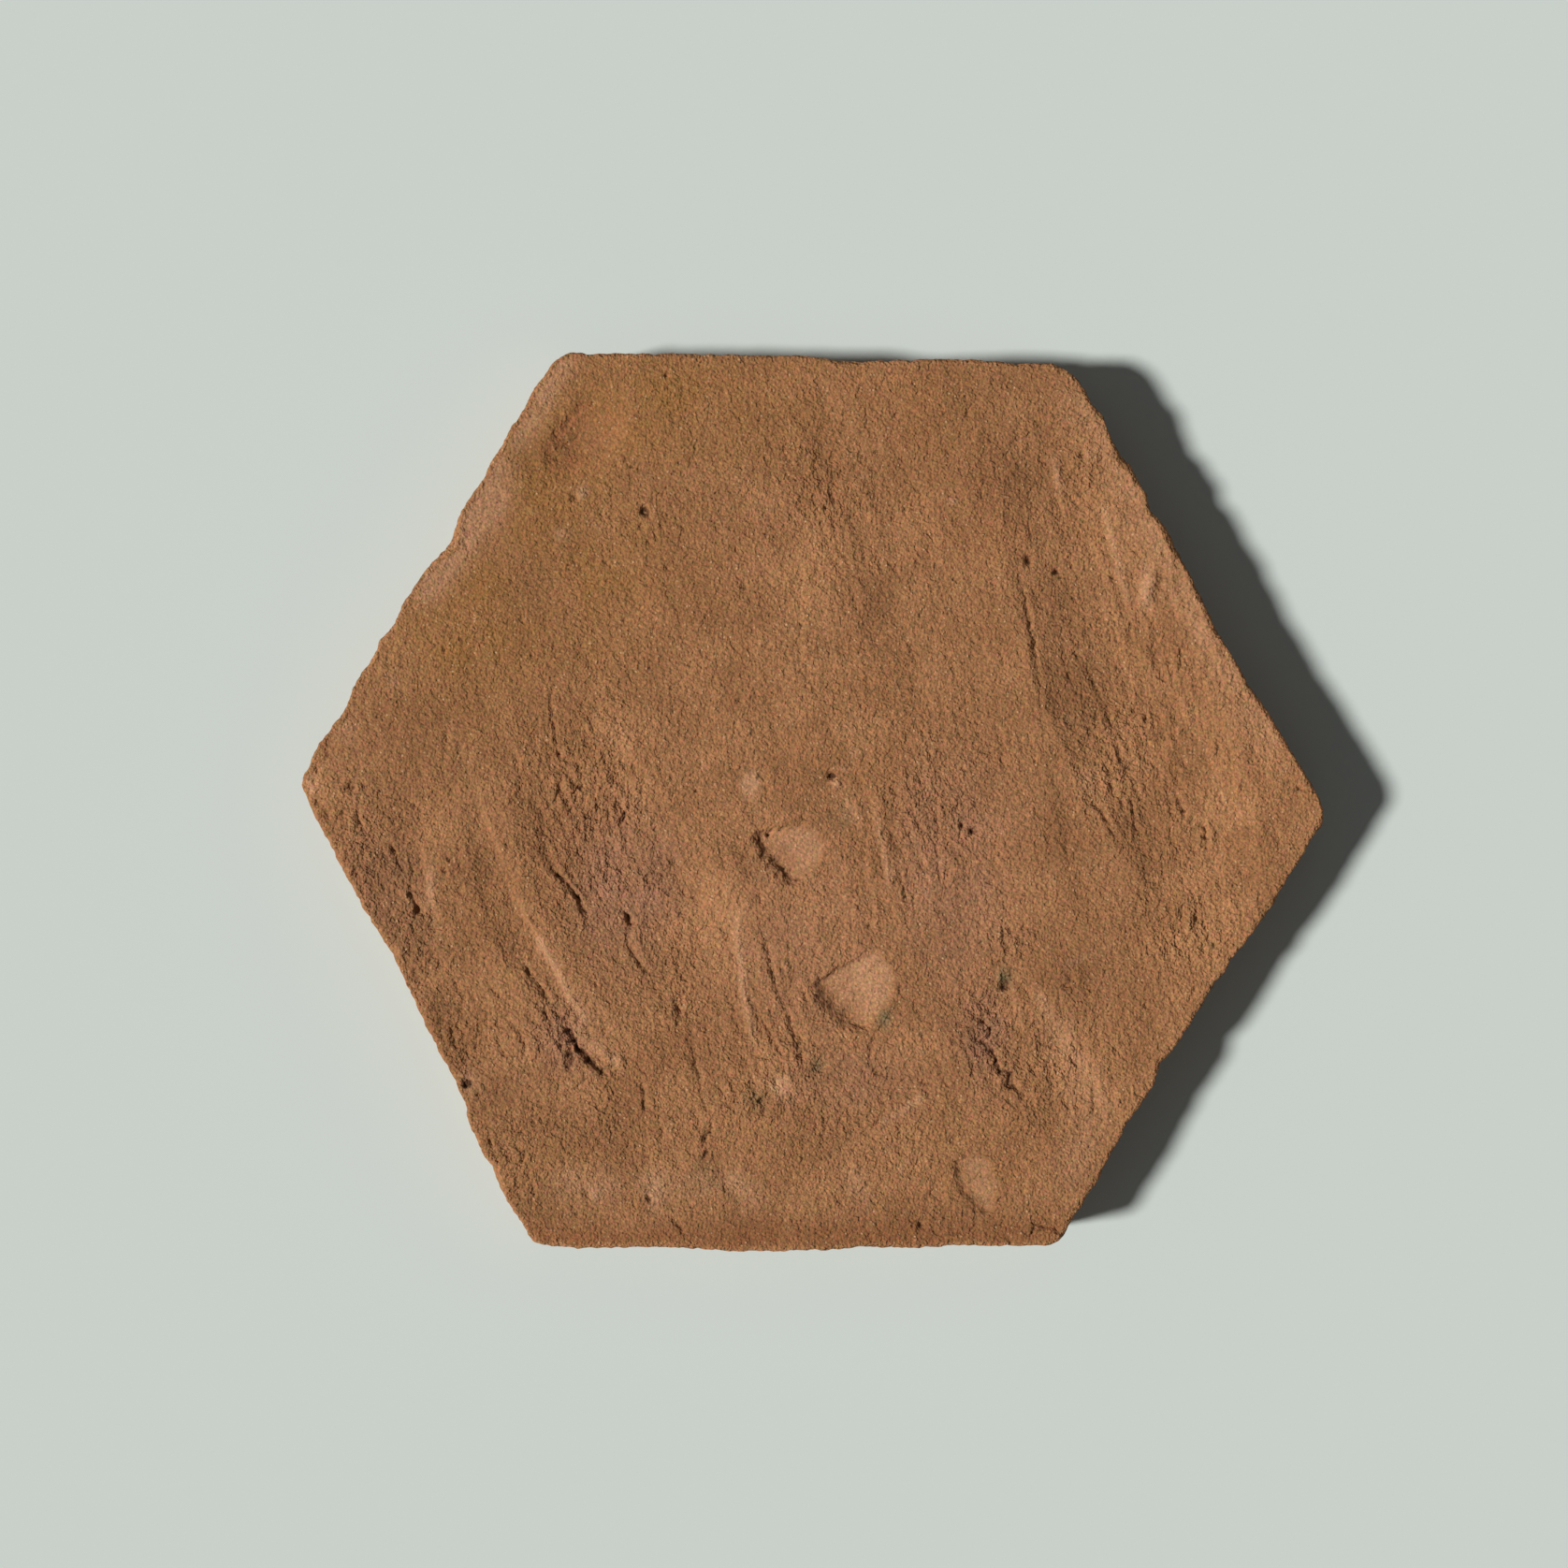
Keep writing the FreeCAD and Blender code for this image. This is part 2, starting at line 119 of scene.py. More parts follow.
# Steps in the ground: drop, half the breadth of the step, how far on the ground takes to come back, and the
# run. The ground falls to the left of the run, which is the tile's right where the run comes down the face.
# Below nought, it falls to the other side.
STEPS = (
    (
        -0.43, 0.8, 3.0,
        (
            (-77.4, 10.0), (-75.2, 3.0), (-72.4, -4.5), (-70.0, -11.5), (-67.2, -18.5), (-64.4, -25.0),
            (-61.6, -30.6), (-58.0, -36.8), (-55.0, -42.6), (-51.6, -48.6), (-48.0, -53.6), (-43.0, -58.0),
            (-38.0, -60.6),
        ),
    ),
    (
        -0.26, 0.8, 3.0,
        ((-67.2, -18.5), (-64.4, -25.0), (-61.6, -30.6), (-58.0, -36.8), (-55.0, -42.6), (-51.6, -48.6)),
    ),
    (-0.6, 1.1, 2.5, ((-55.6, -47.6), (-52.4, -52.0), (-48.4, -56.4), (-43.4, -59.8), (-39.6, -61.0))),
    (-0.14, 0.6, 3.0, ((-78.4, 4.0), (-76.0, -3.0), (-73.6, -9.0))),
    (0.3, 1.2, 3.0, ((-76.6, -5.0), (-74.6, -11.4), (-71.6, -18.6), (-68.6, -26.0), (-65.4, -34.4))),
    (0.3, 1.5, 9.0, ((-66.8, 10.0), (-65.2, 2.0), (-63.6, -3.0), (-61.2, -9.0), (-59.0, -14.0))),
    (
        0.3, 1.0, 7.0,
        ((-63.4, -3.0), (-61.2, -8.6), (-59.2, -13.4), (-55.2, -18.0), (-51.8, -23.2), (-49.4, -27.0)),
    ),
    (-0.26, 1.0, 4.0, ((-41.2, -24.0), (-39.8, -30.6), (-37.2, -35.6), (-33.6, -40.4))),
    (
        -0.39, 0.7, 6.0,
        ((-17.2, -21.0), (-16.8, -30.0), (-15.9, -38.0), (-14.8, -47.0), (-12.8, -56.0), (-10.6, -62.0)),
    ),
    (-0.3, 5.0, 12.0, ((-27.0, -8.0), (-24.0, -22.0), (-22.0, -40.0), (-19.0, -54.0))),
    (
        0.26, 2.0, 6.0,
        ((-30.6, -40.0), (-29.6, -48.0), (-28.0, -54.0), (-26.0, -61.0), (-23.6, -68.0), (-22.4, -73.0)),
    ),
    (0.26, 1.2, 5.0, ((-23.0, -76.0), (-21.6, -80.0), (-19.6, -85.0), (-17.0, -91.0))),
    (
        0.26, 0.7, 4.0,
        ((-11.4, -26.0), (-9.8, -34.0), (-7.8, -41.4), (-5.8, -47.0), (-3.8, -52.4), (-2.0, -60.0)),
    ),
    (-0.26, 2.0, 5.0, ((-5.0, -38.0), (-2.4, -47.0), (-0.6, -55.0))),
    (
        0.47, 1.0, 5.0,
        ((15.8, 3.0), (16.8, -2.0), (18.2, -9.0), (19.8, -16.0), (21.8, -23.6), (22.8, -28.0)),
    ),
    (0.21, 1.3, 6.0, ((22.4, -26.0), (24.6, -34.0), (26.6, -40.0), (28.8, -45.0), (32.0, -50.0))),
    (-0.26, 0.6, 3.0, ((13.6, 1.0), (14.6, -4.0), (15.8, -10.0), (17.4, -17.0), (19.4, -24.0))),
    (-0.21, 0.6, 3.0, ((11.6, -6.0), (12.6, -12.0), (13.8, -19.0), (15.0, -28.0))),
    (-0.3, 0.8, 2.5, ((6.8, 3.0), (8.4, -0.6), (10.4, -5.0), (11.4, -9.0))),
    (0.21, 1.2, 4.0, ((9.0, 3.0), (10.8, 0.0), (12.6, -4.0))),
    (0.3, 1.6, 7.0, ((29.0, -40.0), (32.0, -48.0), (34.6, -54.0), (38.6, -62.0), (44.0, -70.0))),
    (-0.26, 4.0, 9.0, ((41.0, 0.0), (43.0, -14.0), (46.0, -28.0), (47.4, -38.0))),
    (
        -0.39, 0.9, 3.5,
        ((49.6, -40.0), (51.4, -44.4), (54.4, -49.4), (58.4, -55.6), (62.6, -62.0), (67.4, -69.6)),
    ),
    (-0.13, 2.2, 7.0, ((50.0, -46.0), (55.0, -54.0), (59.0, -61.0), (62.0, -70.0), (58.0, -82.0))),
    (-0.21, 0.7, 3.0, ((44.0, -40.0), (46.4, -45.0), (48.0, -50.0), (50.4, -56.0))),
    (-0.21, 0.7, 3.0, ((54.0, -62.0), (55.0, -68.0), (58.0, -76.0), (60.0, -84.0))),
    (-0.21, 0.7, 4.0, ((20.0, -43.0), (22.0, -51.0), (25.0, -57.0), (27.4, -62.0))),
    (-0.17, 0.6, 4.0, ((28.0, -53.0), (31.0, -60.0), (34.4, -67.0))),
    (0.26, 1.6, 7.0, ((45.0, 60.0), (47.2, 48.0), (49.4, 36.0), (51.0, 24.0), (52.6, 12.0))),
    (0.42, 2.2, 7.0, ((51.6, 17.0), (53.2, 8.0), (55.6, -2.0), (57.4, -9.0), (58.8, -17.0), (61.6, -28.0))),
    (0.33, 1.7, 6.0, ((53.0, 56.0), (55.4, 50.0), (57.6, 44.0), (59.4, 37.0), (61.6, 31.0))),
    (0.3, 1.0, 5.0, ((60.0, 33.0), (62.6, 29.0), (65.4, 23.0), (68.0, 16.0), (70.0, 9.0), (71.6, 4.0))),
    (0.3, 0.9, 5.0, ((71.0, 5.0), (72.4, -4.0), (73.8, -13.0), (75.6, -27.0))),
    (-0.34, 1.0, 4.0, ((53.4, 80.0), (54.8, 74.0), (56.0, 67.0), (58.0, 59.0))),
    (
        -0.3, 1.4, 5.0,
        ((57.6, 78.0), (60.0, 71.0), (62.4, 64.0), (64.8, 54.0), (67.6, 43.0), (70.0, 30.0), (71.6, 20.0)),
    ),
    (-0.34, 0.7, 3.0, ((65.0, 68.0), (67.0, 60.6), (69.0, 53.0), (71.4, 44.0))),
    (-0.17, 0.8, 4.0, ((72.0, 58.0), (75.0, 50.0), (77.0, 40.0), (80.0, 28.0))),
    (-0.26, 0.8, 3.0, ((82.0, 52.0), (85.4, 44.0), (88.4, 36.0), (91.4, 27.0))),
    (-0.21, 0.8, 4.0, ((88.0, 0.0), (89.8, -10.0), (92.0, -18.0))),
    (0.43, 4.5, 9.0, ((-107.0, -2.0), (-98.0, -18.0), (-88.0, -40.0), (-76.0, -66.0))),
    (0.43, 1.2, 3.0, ((-95.4, -7.0), (-92.6, -12.0), (-90.0, -18.0), (-88.4, -26.0), (-87.0, -34.0))),
    (-0.6, 1.2, 3.0, ((-88.8, -7.0), (-87.2, -14.0), (-85.4, -21.0), (-83.6, -30.0))),
    (
        0.28, 1.5, 6.0,
        ((1.8, 99.0), (1.6, 88.0), (1.2, 80.0), (3.4, 72.0), (6.0, 65.6), (9.4, 60.6), (13.6, 54.0)),
    ),
    (-0.3, 2.4, 6.0, ((-6.4, 64.0), (-4.4, 55.0), (-2.0, 47.0), (0.6, 39.0))),
    (-0.21, 1.5, 5.0, ((19.0, 70.0), (21.0, 62.0), (23.0, 55.0))),
    (-0.21, 1.0, 4.0, ((23.6, 74.0), (26.0, 66.0), (28.0, 57.0), (31.0, 47.0))),
    (0.21, 3.5, 9.0, ((36.0, 98.0), (38.4, 86.0), (40.0, 76.0), (40.0, 64.0))),
    (0.17, 5.0, 9.0, ((9.0, 60.0), (12.0, 48.0), (14.0, 34.0))),
    (-0.17, 3.0, 8.0, ((-44.0, 60.0), (-40.0, 48.0), (-34.0, 36.0))),
    (-0.17, 3.0, 8.0, ((-22.0, 98.0), (-19.6, 84.0), (-18.0, 70.0))),
    (0.17, 4.0, 9.0, ((-88.0, 30.0), (-82.0, 18.0), (-78.0, 4.0))),
    (0.19, 2.5, 7.0, ((-66.0, 58.0), (-62.0, 48.0), (-60.0, 36.0))),
    (0.34, 0.9, 4.0, ((29.4, -81.4), (27.0, -85.4), (27.6, -90.0), (31.0, -94.6))),
    (0.19, 2.6, 6.0, ((-74.0, -54.0), (-70.0, -62.0), (-65.0, -70.0), (-58.0, -76.0), (-48.0, -74.0))),
    (-0.17, 0.5, 2.5, ((-74.6, -48.0), (-71.6, -54.6), (-67.4, -60.4))),
    (0.17, 0.5, 2.5, ((-72.4, -48.0), (-69.6, -54.0), (-66.0, -58.4))),
    (0.21, 0.4, 4.0, ((78.0, -24.0), (80.4, -30.0), (82.4, -37.0))),
    (0.17, 0.4, 4.0, ((83.0, -22.0), (86.0, -28.0), (88.4, -36.0))),
    (0.26, 0.5, 4.0, ((-17.4, -48.0), (-16.2, -55.0), (-14.4, -61.0))),
    (-0.21, 0.5, 3.0, ((-10.4, -66.0), (-9.4, -71.0), (-7.6, -76.0))),
    (-0.21, 0.5, 3.0, ((-6.2, -64.0), (-5.2, -70.0), (-3.6, -77.0))),
    (0.17, 0.8, 5.0, ((1.6, -74.0), (5.4, -83.0), (9.0, -92.4))),
    (-0.17, 0.8, 4.0, ((5.6, -74.0), (8.4, -82.0), (12.0, -91.0))),
)

# Ridges: height, breadth and run.
RIDGES = (
    (0.9, 2.8, ((75.0, 43.6), (75.5, 48.0), (76.4, 52.0))),
    (0.35, 2.4, ((-53.6, -50.0), (-49.6, -53.6), (-45.0, -56.8), (-41.6, -57.8))),
    (0.35, 1.4, ((-47.0, -54.0), (-46.0, -57.0), (-45.6, -60.0))),
    (0.3, 1.3, ((-74.4, 1.0), (-72.0, -5.0), (-69.4, -12.0), (-66.4, -19.4), (-63.6, -26.0), (-60.6, -32.0))),
    (0.3, 1.3, ((-61.6, -30.0), (-58.0, -36.2), (-55.0, -42.0), (-51.4, -48.2))),
    (0.3, 1.2, ((-58.0, -12.6), (-54.4, -17.0), (-51.8, -21.0), (-50.2, -25.4))),
    (0.4, 1.4, ((14.0, 0.6), (14.8, -4.6), (16.0, -11.0), (17.6, -18.0), (19.0, -22.6))),
    (0.25, 1.2, ((12.4, -8.6), (13.2, -15.0), (14.8, -26.0))),
    (0.25, 1.3, ((65.4, 66.4), (67.2, 60.4), (69.2, 52.4), (71.0, 45.6))),
    (0.4, 1.5, ((-17.0, -24.0), (-16.6, -32.0), (-15.6, -40.0), (-14.4, -48.0), (-12.4, -56.0))),
    (0.35, 1.6, ((-2.8, -44.6), (-2.0, -50.8))),
    (0.4, 1.3, ((-39.6, -24.6), (-39.8, -30.4), (-37.2, -35.4), (-34.6, -39.0))),
    (0.4, 1.5, ((-36.2, -62.0), (-35.6, -66.6), (-35.6, -70.6))),
    (0.35, 1.3, ((-62.4, -52.0), (-62.0, -55.0), (-62.6, -58.4))),
    (0.35, 1.6, ((-67.6, -47.6), (-65.0, -48.6), (-62.6, -51.0))),
    (0.3, 1.2, ((83.4, 2.6), (85.0, -1.4))),
    (0.3, 1.2, ((88.8, -3.4), (89.8, -7.0), (90.2, -11.0))),
    (0.25, 1.2, ((66.4, -1.0), (68.2, -5.6), (70.0, -9.0))),
    (0.3, 1.4, ((71.6, -1.4), (73.2, -4.4))),
    (0.2, 0.9, ((-38.2, 52.4), (-34.0, 47.0), (-30.4, 42.0))),
    (0.4, 2.2, ((-18.8, -11.0), (-17.0, -14.4), (-14.8, -18.4))),
    (0.25, 0.8, ((-16.8, -0.6), (-13.4, -5.6))),
    (0.25, 1.1, ((-1.4, 38.0), (-1.0, 32.6))),
    (0.4, 1.4, ((54.4, 78.0), (55.0, 73.0), (56.0, 68.6))),
    (0.4, 1.8, ((58.0, 77.4), (59.2, 74.6))),
    (0.35, 1.3, ((84.4, 44.0), (86.6, 38.4), (88.0, 34.0))),
    (0.35, 1.3, ((90.0, 35.6), (91.4, 31.4))),
    (0.35, 1.4, ((47.2, 63.0), (48.4, 58.0))),
    (0.35, 1.6, ((-85.6, -15.0), (-85.2, -19.0), (-84.4, -24.0))),
    (0.4, 2.0, ((45.0, -40.6), (46.4, -44.0), (47.6, -47.0))),
    (0.4, 1.6, ((50.6, -42.6), (52.6, -47.6))),
)

# Narrow cuts and cracks: width, depth and run.
CUTS = (
    (1.1, 0.8, ((-59.4, -12.6), (-58.2, -15.2), (-54.8, -18.2), (-52.2, -22.2), (-49.8, -26.4))),
    (1.0, 0.7, ((-65.6, -34.6), (-63.0, -38.6), (-60.6, -41.8), (-58.8, -45.0))),
    (1.1, 0.9, ((-60.2, -45.6), (-59.4, -49.6))),
    (0.8, 0.6, ((-59.2, -51.0), (-57.4, -53.0), (-55.6, -55.6))),
    (
        1.4, 1.0,
        ((-57.6, -53.6), (-54.4, -51.4), (-52.8, -55.0), (-50.0, -57.6), (-48.0, -59.6), (-45.6, -61.2)),
    ),
    (1.2, 0.94, ((-54.6, -54.6), (-53.8, -57.4), (-54.4, -60.6))),
    (1.2, 0.75, ((-43.8, 1.4), (-42.4, -2.4), (-42.6, -4.6), (-43.0, -7.2))),
    (1.2, 0.6, ((-42.6, -23.8), (-41.6, -25.4), (-40.2, -28.0))),
    (0.9, 0.6, ((-41.8, -31.8), (-39.8, -34.6), (-37.4, -38.0), (-35.6, -39.2))),
    (0.9, 0.6, ((-38.4, -61.0), (-37.7, -65.4), (-37.2, -71.0))),
    (0.6, 0.4, ((-70.2, 6.4), (-69.0, 2.8))),
    (0.9, 0.6, ((-58.6, 26.4), (-58.3, 21.6), (-57.6, 15.0), (-57.2, 10.6))),
    (1.1, 0.68, ((-57.2, 11.4), (-55.4, 7.0), (-53.6, 4.0), (-52.2, 0.6))),
    (0.6, 0.4, ((-41.8, -73.8), (-41.0, -77.0))),
    (0.7, 0.5, ((-64.0, -78.0), (-65.2, -82.4))),
    (0.7, 0.5, ((-66.2, -86.6), (-64.6, -90.6))),
    (0.7, 0.5, ((-62.6, -84.0), (-62.2, -88.0))),
    (0.8, 0.6, ((-72.6, -74.4), (-71.8, -77.6))),
    (1.2, 0.6, ((-68.6, -48.6), (-65.6, -51.6), (-64.4, -54.6), (-64.2, -57.6))),
    (0.8, 0.5, ((-71.6, -51.0), (-69.2, -56.0), (-66.6, -59.6))),
    (1, 0.68, ((-102.2, -1.6), (-101.0, -6.0))),
    (1.1, 0.5, ((-102.8, -12.6), (-101.8, -16.4), (-100.6, -20.6))),
    (0.9, 0.5, ((-95.0, -9.0), (-93.4, -11.6), (-92.2, -15.0))),
    (0.9, 0.45, ((-90.6, -19.4), (-89.4, -22.0), (-87.6, -25.6))),
    (
        0.9, 0.45,
        ((-27.8, -50.0), (-26.6, -56.0), (-25.4, -61.0), (-24.4, -66.0), (-22.8, -70.0), (-22.4, -72.0)),
    ),
    (1.0, 0.5, ((-30.4, -44.0), (-29.4, -49.0))),
    (1.4, 0.8, ((-22.0, -72.6), (-23.6, -75.0), (-25.0, -77.0))),
    (1, 0.85, ((-23.6, -77.6), (-24.0, -80.2))),
    (0.9, 0.55, ((19.4, -14.0), (20.4, -18.6), (22.2, -25.4))),
    (0.6, 0.4, ((28.0, 4.0), (28.0, -5.0), (28.5, -15.0), (29.6, -24.4))),
    (0.9, 0.5, ((-11.2, -27.0), (-9.8, -34.6), (-7.9, -41.2), (-5.6, -47.0), (-4.0, -52.0), (-2.6, -58.0))),
    (0.9, 0.45, ((-11.2, -47.0), (-9.6, -51.4), (-7.4, -55.2), (-4.8, -58.4))),
    (0.9, 0.45, ((46.2, 54.4), (47.4, 48.0), (48.8, 42.0), (50.0, 35.0), (50.8, 28.0), (52.0, 16.0))),
    (1.3, 0.51, ((49.8, 36.6), (50.2, 33.6))),
    (0.7, 0.45, ((56.6, 19.4), (58.0, 16.4))),
    (0.7, 0.25, ((61.0, 32.0), (63.4, 27.4), (66.2, 21.0), (68.4, 14.4), (70.2, 8.0))),
    (1.2, 0.55, ((66.2, 9.4), (67.2, 5.4), (68.0, 1.4))),
    (1.2, 0.7, ((63.4, 1.2), (65.4, -2.8), (67.0, -6.0), (69.0, -8.6))),
    (1, 0.68, ((71.4, 1.6), (72.4, -3.0), (73.2, -7.6))),
    (1, 0.68, ((81.4, 2.6), (83.0, -0.6), (84.4, -3.6))),
    (1.2, 0.7, ((88.2, -4.4), (88.8, -9.0))),
    (0.8, 0.5, ((86.0, -23.4), (87.0, -27.0))),
    (0.6, 0.4, ((57.4, -8.0), (57.2, -13.0))),
    (1, 0.8, ((42.8, -28.4), (43.0, -31.4), (44.4, -34.0))),
    (
        1.2, 0.94,
        (
            (35.2, -46.6), (38.2, -49.0), (40.2, -51.2), (38.8, -54.0), (41.0, -57.4), (41.8, -60.2),
            (44.6, -60.8), (44.2, -63.6), (47.0, -65.0), (47.6, -67.8),
        ),
    ),
    (1.6, 0.85, ((44.8, -38.0), (43.6, -40.0), (43.0, -42.6))),
    (1.0, 0.5, ((33.2, -49.0), (33.8, -54.0), (36.0, -58.6), (36.6, -63.0))),
    (0.8, 0.7, ((47.4, -98.6), (49.4, -96.4), (50.2, -94.8), (54.0, -95.4), (57.2, -97.2))),
    (0.7, 0.6, ((107.2, 1.0), (109.0, 3.2), (111.6, 2.6))),
    (0.6, 0.4, ((103.0, -2.0), (104.4, -8.0), (105.2, -13.0))),
    (0.6, 0.4, ((65.0, -53.0), (68.6, -55.4), (70.6, -58.0))),
    (0.6, 0.35, ((65.6, -61.4), (68.4, -58.0))),
    (1.2, 0.77, ((13.8, -72.8), (15.2, -71.0))),
    (0.7, 0.5, ((12.6, -96.6), (13.8, -98.6))),
    (0.8, 0.5, ((-32.6, -92.4), (-29.8, -94.4), (-28.0, -97.2))),
    (0.6, 0.4, ((-9.6, 64.6), (-9.4, 62.6), (-8.4, 61.2))),
    (0.6, 0.4, ((-16.6, 56.8), (-15.4, 58.6))),
    (0.5, 0.3, ((-36.8, 51.4), (-34.8, 48.6))),
    (1.1, 0.4, ((3.4, 72.0), (4.8, 68.0), (6.6, 64.0))),
    (0.6, 0.4, ((-3.0, 36.0), (-2.4, 32.6))),
    (1.4, 0.35, ((-49.8, 90.4), (-53.2, 87.0), (-56.2, 83.4), (-59.4, 81.0))),
    (1, 0.42, ((-52.0, 82.4), (-54.6, 80.4), (-57.6, 79.6))),
    (1.7, 0.5, ((-59.8, 79.0), (-57.6, 77.2), (-56.0, 77.6))),
    (0.8, 0.4, ((-44.6, 76.4), (-42.8, 75.2), (-41.4, 77.0), (-40.0, 78.4))),
    (0.6, 0.5, ((18.4, 86.0), (19.4, 88.0))),
    (0.6, 0.35, ((12.8, 83.4), (13.8, 81.6))),
    (1.3, 0.4, ((6.0, -42.2), (10.4, -39.6), (15.8, -36.6))),
    (1.0, 0.45, ((16.8, -48.4), (14.0, -52.4), (12.8, -57.0), (14.8, -60.8), (18.4, -61.8))),
    (1.2, 0.59, ((-50.2, -87.2), (-50.2, -89.4))),
    (1.2, 0.59, ((-37.0, -86.6), (-36.6, -90.0))),
    (1.3, 0.42, ((78.4, 47.0), (79.0, 52.0))),
)

